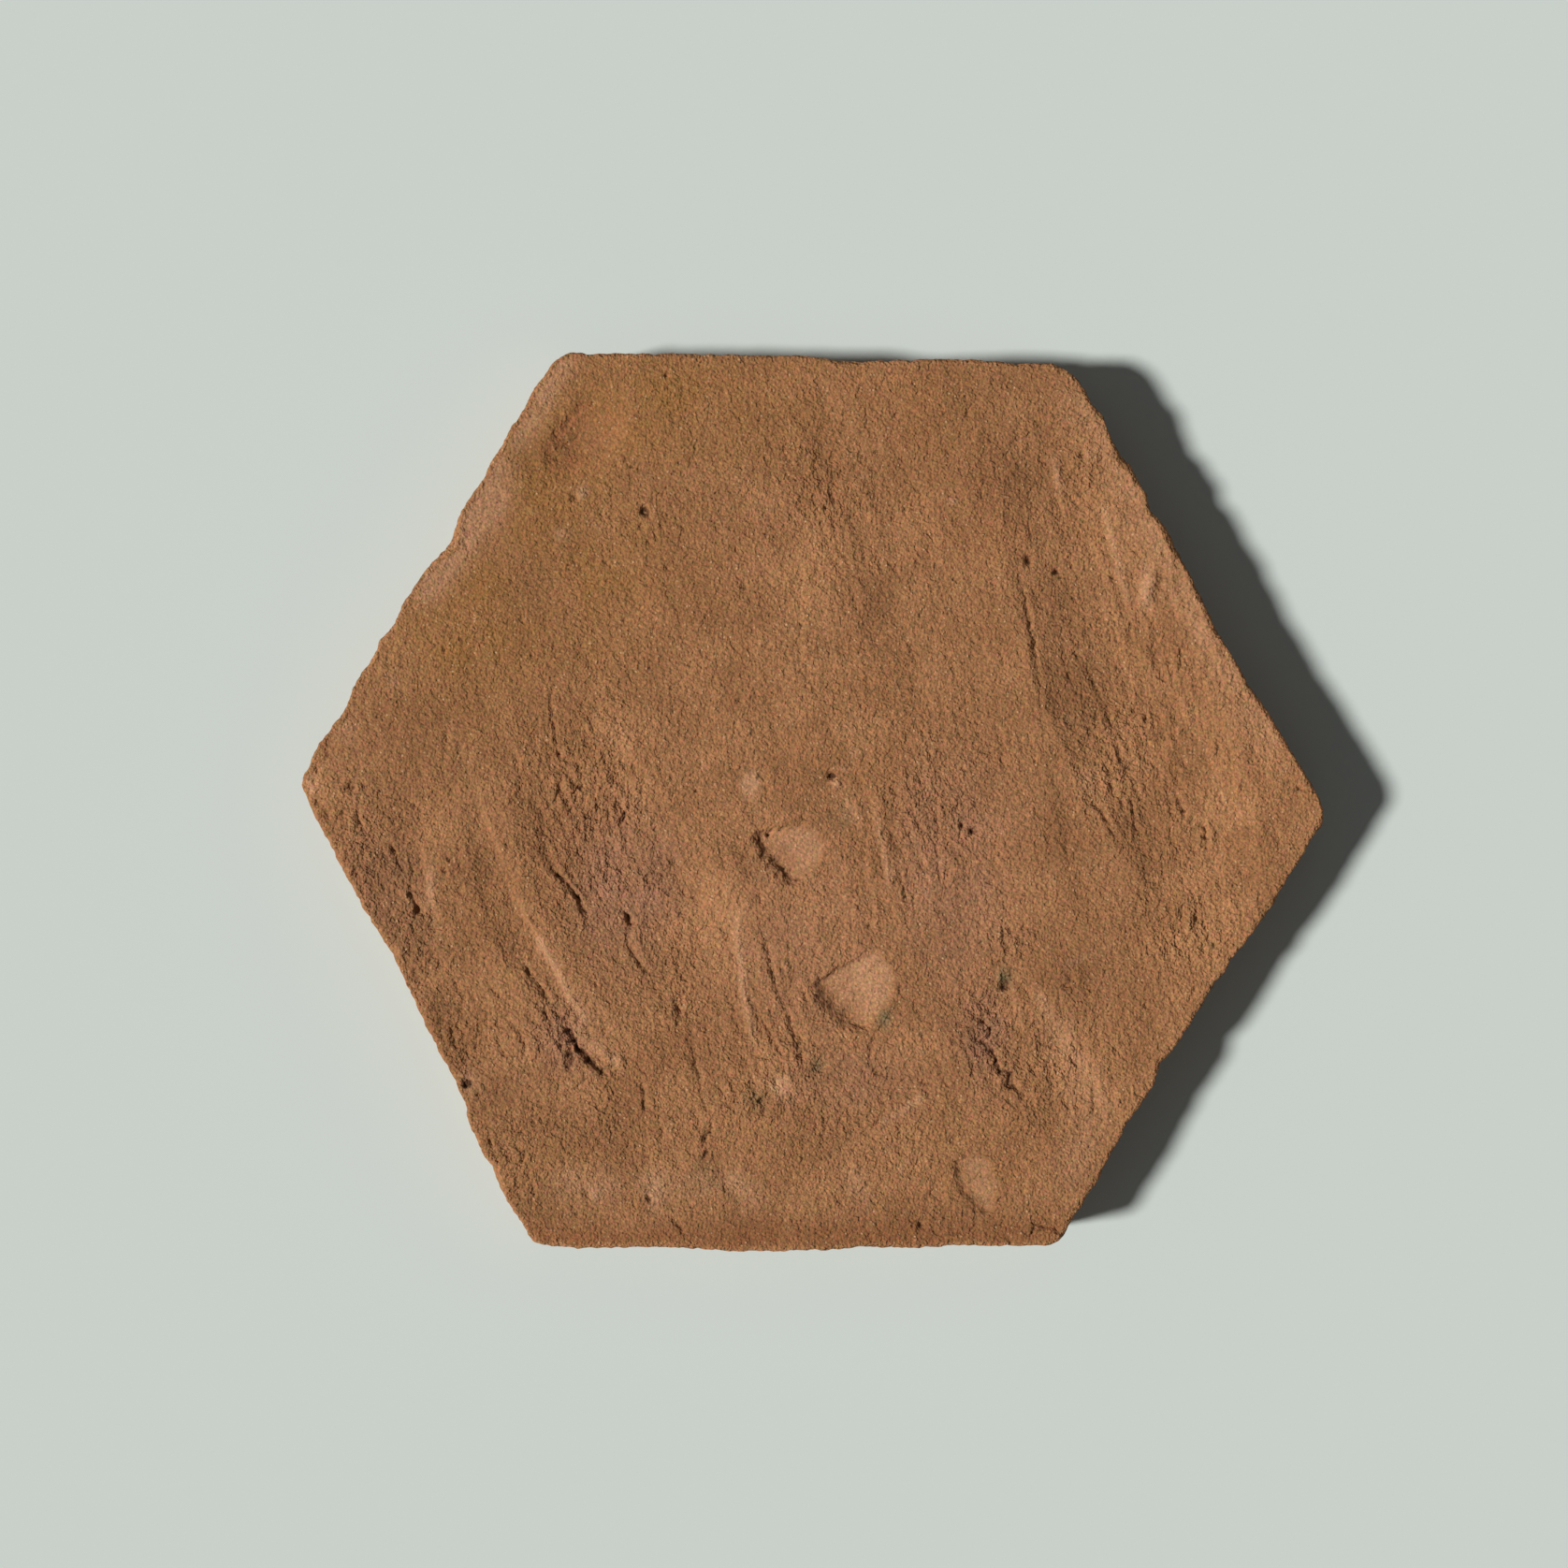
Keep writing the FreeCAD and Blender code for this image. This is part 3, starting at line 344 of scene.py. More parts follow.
# Pits, or bumps where the depth is below nought: x, y, breadth and depth.
PITS = (
    (-12.2, -8.0, 1.9, 0.8),
    (-9.8, -7.2, 1.3, 0.9),
    (-11.0, -12.0, 1.7, 0.8),
    (-9.2, -14.2, 1.4, 0.7),
    (-7.4, -16.2, 1.4, 0.7),
    (-5.8, -17.8, 1.3, 0.6),
    (-37.6, 65.2, 2.2, 1.0),
    (-36.4, 63.8, 1.2, 0.6),
    (4.5, 6.0, 1.9, 1.1),
    (5.7, 4.3, 1.4, -0.5),
    (-51.6, 69.2, 2.2, -0.6),
    (-53.4, 68.4, 1.7, 0.8),
    (-35.2, 64.6, 1.6, -0.45),
    (-56.0, 60.0, 2.6, -0.2),
    (-42.4, 75.6, 2.4, -0.4),
    (-44.0, 75.2, 1.0, 0.5),
    (-40.6, 75.4, 1.0, 0.5),
    (-60.2, 88.4, 1.1, 0.5),
    (-61.6, 89.4, 1.1, 0.4),
    (-56.6, 87.0, 1.1, 0.4),
    (-49.2, 89.6, 1.2, 0.5),
    (-48.6, 61.0, 1.1, 0.4),
    (-82.2, 34.2, 1.4, 0.6),
    (-48.8, 38.6, 1.1, 0.4),
    (-51.9, 3.4, 1.7, 0.9),
    (-51.4, 1.0, 1.2, 0.5),
    (-56.6, 10.6, 1.2, 0.7),
    (-66.0, 9.4, 1.2, 0.5),
    (-88.2, 0.2, 2.4, -0.35),
    (-89.0, -0.8, 1.3, 0.5),
    (-103.4, 3.6, 2.0, 0.8),
    (-104.2, 3.4, 1.2, 0.5),
    (-105.2, -2.6, 1.4, 0.6),
    (-108.6, -2.6, 1.5, 0.5),
    (-110.6, -0.2, 1.6, 0.7),
    (-93.6, -10.8, 1.3, 0.6),
    (-82.2, -15.4, 1.5, 0.5),
    (-81.2, -15.8, 1.4, -0.3),
    (-88.6, -24.2, 1.8, 0.8),
    (-90.2, -20.6, 1.3, 0.6),
    (-94.6, -31.8, 1.6, 0.7),
    (-91.8, -36.6, 1.4, 0.6),
    (-88.8, -43.2, 1.8, 0.8),
    (-83.0, -48.8, 1.3, 0.6),
    (-80.8, -51.4, 1.3, 0.5),
    (-77.4, -63.0, 2.0, 1.1),
    (-78.4, -60.6, 1.8, -0.4),
    (-76.0, -65.2, 1.8, -0.4),
    (-76.2, -54.8, 1.8, -0.3),
    (-75.4, -55.2, 1.0, 0.4),
    (-71.4, -49.2, 1.8, -0.3),
    (-70.6, -49.8, 1.0, 0.5),
    (-41.2, -25.8, 1.7, 0.9),
    (-40.2, -27.4, 1.3, 0.6),
    (-48.2, -9.8, 1.1, 0.5),
    (33.8, -5.2, 1.7, 0.8),
    (36.2, -6.6, 1.9, 1.0),
    (28.2, 0.2, 1.4, 0.6),
    (33.2, 15.0, 1.2, 0.6),
    (37.2, 18.0, 1.2, 0.6),
    (26.4, 11.2, 1.2, 0.5),
    (38.4, 9.6, 1.0, 0.5),
    (-1.8, -3.6, 1.1, 0.6),
    (-14.4, -11.6, 1.3, 0.5),
    (13.2, -27.8, 1.5, 0.6),
    (-28.6, -20.6, 1.2, 0.6),
    (-26.6, -21.6, 1.1, 0.6),
    (-33.8, -16.2, 1.4, 0.6),
    (-31.0, -13.6, 1.4, 0.5),
    (-20.0, 9.0, 1.2, 0.5),
    (-16.0, 22.6, 1.1, 0.6),
    (-11.9, 5.8, 1.1, 0.5),
    (42.8, -41.0, 1.9, 0.8),
    (44.4, -28.6, 1.3, 0.7),
    (47.6, -27.8, 1.2, 0.6),
    (40.4, -18.0, 1.3, 0.6),
    (55.2, 51.8, 1.8, 0.8),
    (48.6, 54.6, 2.2, 0.9),
    (60.6, 78.2, 1.6, 0.7),
    (62.6, 78.0, 1.8, -0.5),
    (52.0, 77.2, 1.6, 0.4),
    (53.2, 77.6, 2.6, -0.25),
    (65.0, 60.2, 1.2, 0.5),
    (57.8, 28.4, 1.2, 0.6),
    (68.0, 50.6, 1.6, 0.4),
    (87.4, -5.2, 1.2, 0.5),
    (64.6, -19.6, 1.8, -0.3),
    (65.0, -20.2, 1.0, 0.5),
    (94.8, -15.2, 2.6, -0.25),
    (14.4, 78.6, 1.3, 0.7),
    (-25.0, 43.8, 1.2, 0.5),
    (-32.0, 52.8, 1.1, 0.5),
    (-36.6, 58.6, 1.2, 0.6),
    (-24.0, 69.0, 1.0, 0.5),
    (11.8, 54.0, 1.2, 0.5),
    (4.8, 43.4, 1.2, 0.6),
    (-32.6, 96.0, 1.1, 0.6),
    (31.4, 67.6, 1.6, -0.4),
    (-11.6, -67.0, 1.6, 0.9),
    (-10.6, -69.4, 1.8, 0.8),
    (-13.4, -63.4, 1.8, 0.5),
    (-8.4, -71.8, 1.1, 0.5),
    (-2.6, -57.0, 1.7, 0.8),
    (1.6, -59.6, 2.6, 0.7),
    (0.0, -69.0, 1.2, 0.7),
    (-29.9, -46.8, 1.3, 0.6),
    (-30.0, -50.0, 1.2, 0.5),
    (-23.6, -50.6, 1.3, 0.5),
    (-26.0, -70.2, 1.3, 0.6),
    (-12.0, -60.4, 1.2, 0.6),
    (9.0, -65.0, 1.0, 0.5),
    (24.2, -94.6, 1.8, 0.8),
    (26.4, -87.6, 1.2, 0.5),
    (25.0, -62.6, 1.4, 0.5),
    (20.0, -82.0, 1.2, -0.4),
    (-48.6, -88.0, 2.2, -0.4),
    (-50.6, -79.4, 1.8, 0.5),
    (-50.9, -79.2, 0.9, -0.4),
    (-67.4, -80.2, 1.8, 0.5),
    (-65.4, -74.2, 1.1, 0.6),
    (-73.2, -68.6, 1.1, 0.5),
    (-70.6, -65.2, 1.0, 0.5),
    (-62.2, -72.8, 1.1, 0.5),
    (-53.0, -92.4, 1.1, 0.5),
    (-46.2, -56.6, 2.0, -0.4),
    (-42.6, -58.8, 2.4, -0.4),
    (-53.2, -38.6, 2.0, -0.3),
    (-57.4, -58.8, 1.2, 0.5),
    (58.6, -82.2, 1.8, -0.5),
    (59.4, -83.2, 1.0, 0.4),
    (57.2, -41.2, 1.3, 0.6),
    (75.0, -45.8, 1.2, 0.6),
    (54.2, -55.2, 1.0, 0.5),
    (52.6, -59.2, 1.3, 0.5),
)

# Loose specks strewn over the face: how many, and the most that one is long, wide and deep. Below nought
# they stand up.
TICKS = (520, 2.4, 0.85, 0.5)
LUMPS = (420, 2.2, 1.2, -0.35)

# Bulges of the sides, clockwise from the top one, or dents where the height is below nought: side, share of
# its way, half breadth and height.
RIM_MARKS = (
    (0, 0.03, 1.5, -0.4),
    (0, 0.25, 16.0, 0.2),
    (0, 0.48, 5.0, 0.3),
    (0, 0.61, 7.0, -0.6),
    (0, 0.84, 10.0, 0.4),
    (0, 0.94, 2.5, -0.5),
    (1, 0.075, 4.0, 0.5),
    (1, 0.20, 2.6, 1.1),
    (1, 0.25, 3.0, 0.8),
    (1, 0.30, 2.0, -0.5),
    (1, 0.35, 5.0, 0.95),
    (1, 0.44, 7.0, 0.45),
    (1, 0.60, 5.0, -0.7),
    (1, 0.71, 6.0, -0.5),
    (2, 0.01, 4.0, -0.6),
    (2, 0.17, 3.0, 0.5),
    (2, 0.24, 5.0, 0.5),
    (2, 0.39, 8.0, -0.2),
    (2, 0.585, 2.0, -0.75),
    (2, 0.66, 5.0, 0.4),
    (2, 0.735, 2.0, -0.3),
    (2, 0.87, 6.0, 0.5),
    (3, 0.17, 10.0, -0.7),
    (3, 0.36, 7.0, -1.0),
    (3, 0.47, 4.0, -0.3),
    (3, 0.63, 3.0, 0.3),
    (3, 0.78, 11.0, -0.7),
    (4, 0.00, 2.0, -0.6),
    (4, 0.09, 5.0, 1.0),
    (4, 0.18, 5.0, 1.1),
    (4, 0.24, 3.5, 1.0),
    (4, 0.33, 4.0, -0.2),
    (4, 0.46, 9.0, 0.4),
    (4, 0.75, 7.0, 0.9),
    (4, 0.83, 4.0, 0.6),
    (4, 0.92, 7.0, 0.6),
    (5, 0.00, 2.5, -0.5),
    (5, 0.055, 3.0, 0.3),
    (5, 0.15, 3.0, -0.5),
    (5, 0.23, 4.0, 0.5),
    (5, 0.32, 3.0, 0.8),
    (5, 0.41, 4.0, 0.9),
    (5, 0.48, 4.0, 0.5),
    (5, 0.575, 4.5, -0.8),
    (5, 0.66, 5.0, 0.4),
    (5, 0.77, 4.0, 0.4),
    (5, 0.84, 4.0, 0.7),
    (5, 0.94, 4.0, 0.7),
)

# Chips out of the worn arris: side, share of its way, half breadth and what they add to its rounding.
CHIPS = (
    (5, 0.57, 5.5, 1.3),
    (0, 0.57, 4.0, 1.0),
    (1, 0.18, 4.5, 1.3),
    (1, 0.36, 3.5, 1.0),
    (2, 0.585, 2.5, 1.2),
    (3, 0.80, 4.0, 0.9),
    (4, 0.12, 3.0, 1.2),
    (4, 0.62, 2.5, 1.0),
)

# Patches where the clay is streaked, crumbled or smoothed, and patches of its colours: x, y, half breadth,
# half height and strength.
STREAKED = (
    (82.0, 25.0, 20.0, 40.0, 1.0),
    (84.0, -30.0, 14.0, 20.0, 0.8),
    (58.0, -54.0, 16.0, 22.0, 0.9),
    (24.0, -8.0, 14.0, 24.0, 0.8),
    (-8.0, -52.0, 16.0, 24.0, 1.0),
    (-52.0, 5.0, 14.0, 24.0, 0.9),
    (8.0, 60.0, 18.0, 26.0, 0.7),
    (-72.0, -40.0, 12.0, 26.0, 0.4),
)
CRUMBLED = (
    (-50.0, -4.0, 13.0, 22.0, 1.0),
    (-36.0, -14.0, 8.0, 10.0, 0.7),
    (-100.0, -12.0, 9.0, 14.0, 1.0),
    (-90.0, -36.0, 7.0, 16.0, 1.0),
    (-80.0, -56.0, 5.0, 10.0, 0.8),
    (-68.0, -82.0, 7.0, 12.0, 1.0),
    (-56.0, -52.0, 6.0, 7.0, 1.3),
    (-8.0, -64.0, 14.0, 12.0, 0.7),
    (38.0, -52.0, 6.0, 10.0, 1.2),
    (27.0, 2.0, 10.0, 14.0, 0.8),
    (68.0, 10.0, 8.0, 14.0, 0.8),
    (-30.0, -38.0, 10.0, 14.0, 0.6),
    (2.0, 70.0, 10.0, 14.0, 0.5),
    (82.0, -30.0, 10.0, 10.0, 0.8),
    (45.0, -31.0, 5.0, 5.0, 0.9),
    (62.0, 74.0, 9.0, 12.0, 0.6),
    (52.0, -58.0, 12.0, 14.0, 0.7),
    (-45.0, -72.0, 34.0, 16.0, 0.45),
    (12.0, -76.0, 24.0, 14.0, 0.4),
)
SMOOTHED = (
    (-72.0, 66.0, 6.0, 12.0, 0.9),
    (-64.0, 84.0, 6.0, 9.0, 0.8),
    (-84.0, 50.0, 6.0, 8.0, 0.6),
    (-48.0, 84.0, 10.0, 9.0, 0.9),
    (-14.4, 4.0, 2.6, 2.4, 0.9),
    (-7.0, -63.6, 2.4, 2.0, 0.9),
    (70.0, 78.0, 6.0, 8.0, 0.5),
)
OCHRE_PATCHES = (
    (-62.0, 74.0, 18.0, 20.0, 1.0),
    (-76.0, 42.0, 16.0, 20.0, 0.9),
    (-38.0, 88.0, 34.0, 12.0, 0.8),
    (-50.0, 52.0, 20.0, 20.0, 0.6),
    (30.0, 86.0, 12.0, 10.0, 0.3),
    (-60.0, -82.0, 10.0, 8.0, 0.3),
)
PLUM_PATCHES = (
    (-42.0, -18.0, 11.0, 15.0, 1.0),
    (32.0, -16.0, 13.0, 24.0, 0.7),
    (38.0, -52.0, 6.0, 9.0, 1.0),
    (-2.0, -32.0, 22.0, 22.0, 0.4),
    (-55.0, -52.0, 7.0, 8.0, 0.8),
    (-96.0, -22.0, 9.0, 18.0, 0.4),
    (8.0, -62.0, 16.0, 8.0, 0.5),
)
MOSS_PATCHES = (
    (16.4, -48.6, 1.5, 2.4, 1.0),
    (1.4, -59.0, 1.4, 1.5, 0.8),
    (43.2, -39.4, 1.8, 2.4, 0.9),
    (-12.6, -66.4, 2.4, 2.0, 0.5),
    (7.0, -3.0, 2.4, 3.4, 0.3),
    (-24.0, -84.0, 3.0, 3.4, 0.3),
)
PALE_PATCHES = (
    (-14.0, 4.2, 1.7, 2.4, 1.8),
    (-7.0, -63.6, 1.8, 1.9, 1.8),
    (-51.6, 69.4, 1.1, 1.3, 1.8),
    (5.5, 4.2, 0.8, 0.8, 1.4),
    (7.4, 7.4, 0.7, 0.7, 1.0),
    (9.2, 11.0, 0.7, 0.7, 1.4),
    (31.4, 67.6, 0.9, 0.7, 1.2),
    (20.0, -82.0, 0.6, 1.0, 1.2),
    (11.6, 73.0, 0.6, 0.6, 1.2),
    (-56.0, 60.0, 1.6, 1.5, 0.9),
    (75.4, 48.0, 1.3, 3.8, 1.8),
    (62.6, 78.0, 0.9, 1.0, 1.2),
    # Painted highlight on the sunlit rim at the left corner.
    (-113.2, 3.8, 2.0, 2.4, 1.8),
    (-35.2, -87.0, 1.8, 4.4, 1.2),
    (-48.6, -88.0, 1.1, 1.3, 1.4),
    (-85.6, -20.0, 1.2, 5.0, 1.2),
    (-77.4, -63.0, 2.4, 3.6, 0.8),
    (-104.4, 16.0, 2.0, 3.0, 0.8),
    (-94.0, 27.0, 1.0, 1.6, 0.6),
    (-43.4, 15.0, 2.4, 3.4, 0.35),
    (61.6, 4.4, 2.4, 2.8, 0.45),
    (57.0, 18.8, 1.4, 1.8, 0.4),
)
# Pale bands, most along the lit sides of ridges and steps, where they are painted highlight: strength, half
# breadth and run.
PALE_AND_HIGHLIGHT_BANDS = (
    (1.0, 0.8, ((16.4, -71.4), (19.6, -69.8), (24.4, -66.4))),
    (0.4, 0.6, ((57.6, -36.2), (62.0, -34.2), (68.0, -31.6))),
    (0.9, 1.0, ((-61.2, -31.0), (-57.6, -37.2), (-54.6, -43.0), (-51.6, -48.6))),
    (0.7, 1.6, ((-53.0, -51.0), (-49.0, -54.6), (-44.0, -58.4))),
    (0.8, 0.9, ((-16.8, -26.0), (-16.2, -34.0), (-15.0, -44.0), (-13.0, -54.0))),
    (0.5, 0.8, ((65.6, 66.0), (67.2, 60.4), (69.2, 52.4), (70.8, 46.4))),
    (0.6, 0.8, ((54.4, 77.6), (55.6, 70.0))),
    (0.8, 1.0, ((50.8, -43.0), (52.8, -47.8))),
    (0.3, 1.4, ((55.0, -50.4), (60.0, -58.0), (66.6, -68.6))),
    (0.7, 0.8, ((14.2, -1.6), (15.6, -9.0), (17.4, -17.0))),
    (0.6, 0.9, ((8.2, -0.4), (10.2, -4.4))),
    (0.6, 0.9, ((84.6, 43.6), (88.0, 35.0))),
)

# Partly the clay's own tone, and partly painted light and shade where the face turns to or from the light.
# Lighter and darker places: x, y, half breadth, half height and strength. Below nought is darker.
TONES_AND_PAINTED_LIGHT = (
    (96.0, 14.0, 12.0, 22.0, 0.3),
    (86.0, -22.0, 12.0, 22.0, 0.6),
    (44.0, -22.0, 7.0, 20.0, 0.5),
    (-1.0, 50.0, 6.0, 12.0, 0.5),
    (-22.0, -26.0, 6.0, 15.0, 0.6),
    (-46.0, 82.0, 6.0, 7.0, 0.9),
    (19.0, -57.0, 3.6, 4.4, 0.7),
    (31.0, -88.0, 3.0, 4.0, 0.7),
    (-84.0, -5.0, 5.0, 8.0, 0.5),
    (-60.0, -22.0, 3.0, 7.0, 0.5),
    (-43.0, 12.0, 5.0, 12.0, 0.5),
    (-40.0, -56.0, 5.0, 5.0, 0.5),
    (61.0, 66.0, 4.0, 10.0, 0.5),
    (24.0, 64.0, 5.0, 8.0, 0.4),
    (-96.0, -26.0, 8.0, 24.0, -0.9),
    (-82.0, -50.0, 5.0, 12.0, -0.8),
    (-70.0, -66.0, 5.0, 8.0, -0.6),
    (-48.0, -74.0, 8.0, 4.0, -0.7),
    (-58.0, 79.0, 5.0, 4.0, -0.9),
    (-54.0, 85.0, 3.0, 4.0, -0.5),
    (-64.0, 72.0, 3.0, 8.0, -0.5),
    (-62.0, -92.0, 10.0, 7.0, -0.4),
    (-10.0, -97.0, 60.0, 5.0, -0.9),
    (40.0, -96.0, 18.0, 5.0, -1.0),
    (36.0, -55.0, 4.0, 7.0, -1.1),
    (40.0, 75.0, 8.0, 9.0, -0.8),
    (34.0, 90.0, 9.0, 9.0, -0.5),
    (15.0, 46.0, 8.0, 10.0, -0.6),
    (55.0, 38.0, 4.0, 14.0, -0.7),
    (62.0, 24.0, 5.0, 10.0, -0.7),
    (68.0, -14.0, 9.0, 14.0, -0.4),
    (55.0, -4.0, 4.0, 18.0, -0.6),
    (-33.0, -14.0, 5.0, 6.0, -0.7),
    (-38.0, -34.0, 7.0, 14.0, -0.4),
    (30.0, -28.0, 6.0, 14.0, -0.4),
    (-64.0, 46.0, 7.0, 8.0, -0.6),
    (-80.0, 20.0, 8.0, 12.0, -0.4),
    (58.0, -38.0, 8.0, 8.0, -0.6),
    # Painted highlight on the sunlit rim at the left corner.
    (-112.0, 3.0, 3.0, 4.0, 1.2),
    (104.0, 8.0, 5.0, 8.0, 0.5),
    (-90.0, -31.0, 5.0, 7.0, -0.6),
    (-62.0, -74.0, 22.0, 16.0, -0.3),
    (-85.0, 0.0, 20.0, 34.0, -0.3),
    (-64.0, 56.0, 28.0, 34.0, -0.25),
    (-8.0, 82.0, 34.0, 20.0, -0.25),
    (-7.0, -63.6, 2.0, 2.0, 0.8),
    (8.0, -26.0, 14.0, 18.0, 0.3),
    (47.0, -84.0, 8.0, 8.0, 0.3),
    (48.0, 8.0, 6.0, 8.0, -0.5),
    (-62.0, -88.0, 6.0, 6.0, -0.5),
    (-50.0, 83.0, 5.0, 5.0, -0.5),
)
# Bands of colour: strength, half breadth and run.
DUST_AND_LIGHT_BANDS = (
    (1.0, 3.4, ((-56.0, 99.0), (-61.0, 91.0), (-66.0, 82.0))),
    (1.4, 4.2, ((-71.0, 74.0), (-72.6, 67.0), (-79.0, 58.6), (-87.0, 49.0))),
    # Painted light along the right rim, where the face rises towards the light.
    (0.5, 5.0, ((60.0, 92.0), (68.0, 78.0), (78.0, 58.0), (92.0, 34.0), (103.0, 14.0))),
    (0.6, 4.0, ((-56.0, -85.0), (-46.0, -86.0))),
    (0.4, 3.6, ((-38.0, -85.0), (-24.0, -86.0))),
    (0.6, 3.4, ((-17.4, -85.0), (-13.6, -89.0))),
    (0.5, 3.0, ((9.0, -84.0), (12.0, -90.0))),
    (0.4, 5.0, ((54.0, -50.0), (60.0, -64.0), (62.0, -74.0), (58.0, -83.0))),
)
RUSSET_BANDS = (
    (0.9, 3.4, ((-62.0, -98.0), (-20.0, -97.5), (20.0, -97.0), (54.0, -97.0))),
    (0.7, 4.6, ((-56.0, 77.0), (-50.0, 80.0), (-46.0, 84.0))),
    (1.2, 1.6, ((-59.0, 79.6), (-55.4, 83.6), (-51.0, 88.4))),
    (0.3, 9.0, ((16.0, 94.0), (34.0, 78.0), (40.0, 60.0))),
)

# Colours, as they look in plain light (red, green, blue out of 255).
CLAY_DARK = (147, 102, 66)
CLAY_LIGHT = (160, 113, 75)
OCHRE = (150, 105, 60)
RUSSET = (151, 101, 64)
PLUM = (157, 111, 82)
# Pale dust, and painted light along the right rim.
DUST_AND_LIGHT_COLOUR = (169, 124, 89)
# Pale clay, and painted highlight on lit ridges, steps and the left corner's rim.
PALE = (173, 128, 93)
MOSS = (118, 99, 68)
# Painted shade, for the cuts, pits, scar banks and sunk grains.
PAINTED_SHADE_COLOUR = (58, 32, 22)
SAND = (205, 165, 125)
FLOOR = (201, 208, 202)

# Mottle: how many random slopes it has, what spreads its lattice over them, and what brings it to about
# -1..1.
SLOPES = 4096
SPREADERS = (73856093, 19349663, 83492791)
MOTTLE_HEIGHT = 1.6
# Flakes: half the breadth of their edges, and how much of the plain unevenness they keep.
FLAKE_EDGE = 0.12
FLAKE_REST = 0.4

# Layers of mottle: height, grain and seed. A grain of two sizes is across and along the wiping or, in a scar,
# along and across the plucking. One of three is over the plan and upright.
GROUND_WAVES = ((0.2, 34, 1), (0.1, 15, 2), (0.035, 5, 7))
DRAWN_WAVES = ((0.08, (6, 40), 17),)
PLAIN_STREAKS = ((0.1, (3.6, 26), 3),)
FLAKY_STREAKS = ((0.17, (1.7, 9), 4),)
FLAKY_CRUMBS = ((0.15, 2.8, 5), (0.2, 1.5, 6))
SCAR_SCRATCHES = ((0.18, (9, 1.5), 10), (0.08, (5, 0.8), 16))
SIDE_LAYERS = ((0.10, (6, 6, 12), 20), (0.22, (2.6, 2.6, 4.16), 21), (0.27, 1.3, 22))
ARRIS_LAYERS = ((0.3, 9, 23), (0.3, 3.5, 24))
BLOTCH_LAYERS = ((0.5, 9, 14), (0.3, 4, 15))
TONE_LAYERS = ((0.3, 9, 18), (0.24, 4, 19))

# What bends and frays the marks: grains of the fine and of the broad wobble, and that of a cut's breadth.
WOBBLE_GRAIN = 1.6
WAVER_GRAIN = 8
RAGGED_GRAIN = 2.6
# The part of its run over which a step, a ridge and a cut dies out at each end.
STEP_END, RIDGE_END, CUT_END = 0.18, 0.2, 0.25
# How streaked and how crumbled the plain face is, and how much more so a patch of full strength is.
PLAIN_STREAKED, PATCH_STREAKED = 0.05, 0.95
PLAIN_CRUMBLED, PATCH_CRUMBLED = 0.29, 0.75
# How much of the streaks and crumbs a smoothed patch loses.
SMOOTHING = 0.85
# How rough the grain of plain clay is, how much more so that of crumbled clay is, and the most it can be.
PLAIN_ROUGH, CRUMBLED_ROUGH, MOST_ROUGH = 0.54, 0.6, 1.3
# How far the sides' raggedness is set in.
SIDE_INSET = 0.12
# The least, the middle and the most of the worn arris's rounding, as shares of the plain one.
LEAST_ARRIS, MIDDLE_ARRIS, MOST_ARRIS = 0.4, 0.9, 1.4


def smooth(low, high, values):
    """A smooth step from nought at low to one at high: 3 s^2 - 2 s^3, where s is the share of the way."""
    share = np.clip((values - low) / (high - low), 0, 1)
    return share * share * (3 - 2 * share)


def unit(vectors):
    """Each vector divided by its own length."""
    return vectors / np.linalg.norm(vectors, axis=-1, keepdims=True)


def mottle(places, size, seed):
    """Random unevenness, from about -1 to 1, whose grain is of that size: gradient noise.

    Each corner of a square lattice has a random slope. A place takes the slopes of the corners of its own
    cell, each times the way from that corner, blended by the step 6 s^5 - 15 s^4 + 10 s^3 along each axis.
    """
    places = places / size
    cell = np.floor(places).astype(np.int64)
    inside = places - cell
    ease = inside**3 * (inside * (inside * 6 - 15) + 10)
    axes = places.shape[1]
    slopes = unit(np.random.default_rng(seed).normal(size=(SLOPES, axes)))
    strides = np.array(SPREADERS)[:axes]
    total = np.zeros(len(places))
    for corner in itertools.product((0, 1), repeat=axes):
        key = np.bitwise_xor.reduce((cell + corner) * strides, axis=1) % len(slopes)
        weight = np.prod(np.where(corner, ease, 1 - ease), axis=1)
        total += weight * np.sum(slopes[key] * (inside - corner), axis=1)
    return MOTTLE_HEIGHT * total


def flakes(unevenness):
    """Unevenness made into plateaus with sharp edges: a smooth step across nought, and a little of itself."""
    return smooth(-FLAKE_EDGE, FLAKE_EDGE, unevenness) - 0.5 + FLAKE_REST * unevenness


def layers(places, rows, shape=None):
    """The sum of layers of mottle, each of its own height and grain, and put in shape first."""
    total = 0
    for height, grain, seed in rows:
        layer = mottle(places, grain, seed)
        total = total + height * (shape(layer) if shape else layer)
    return total


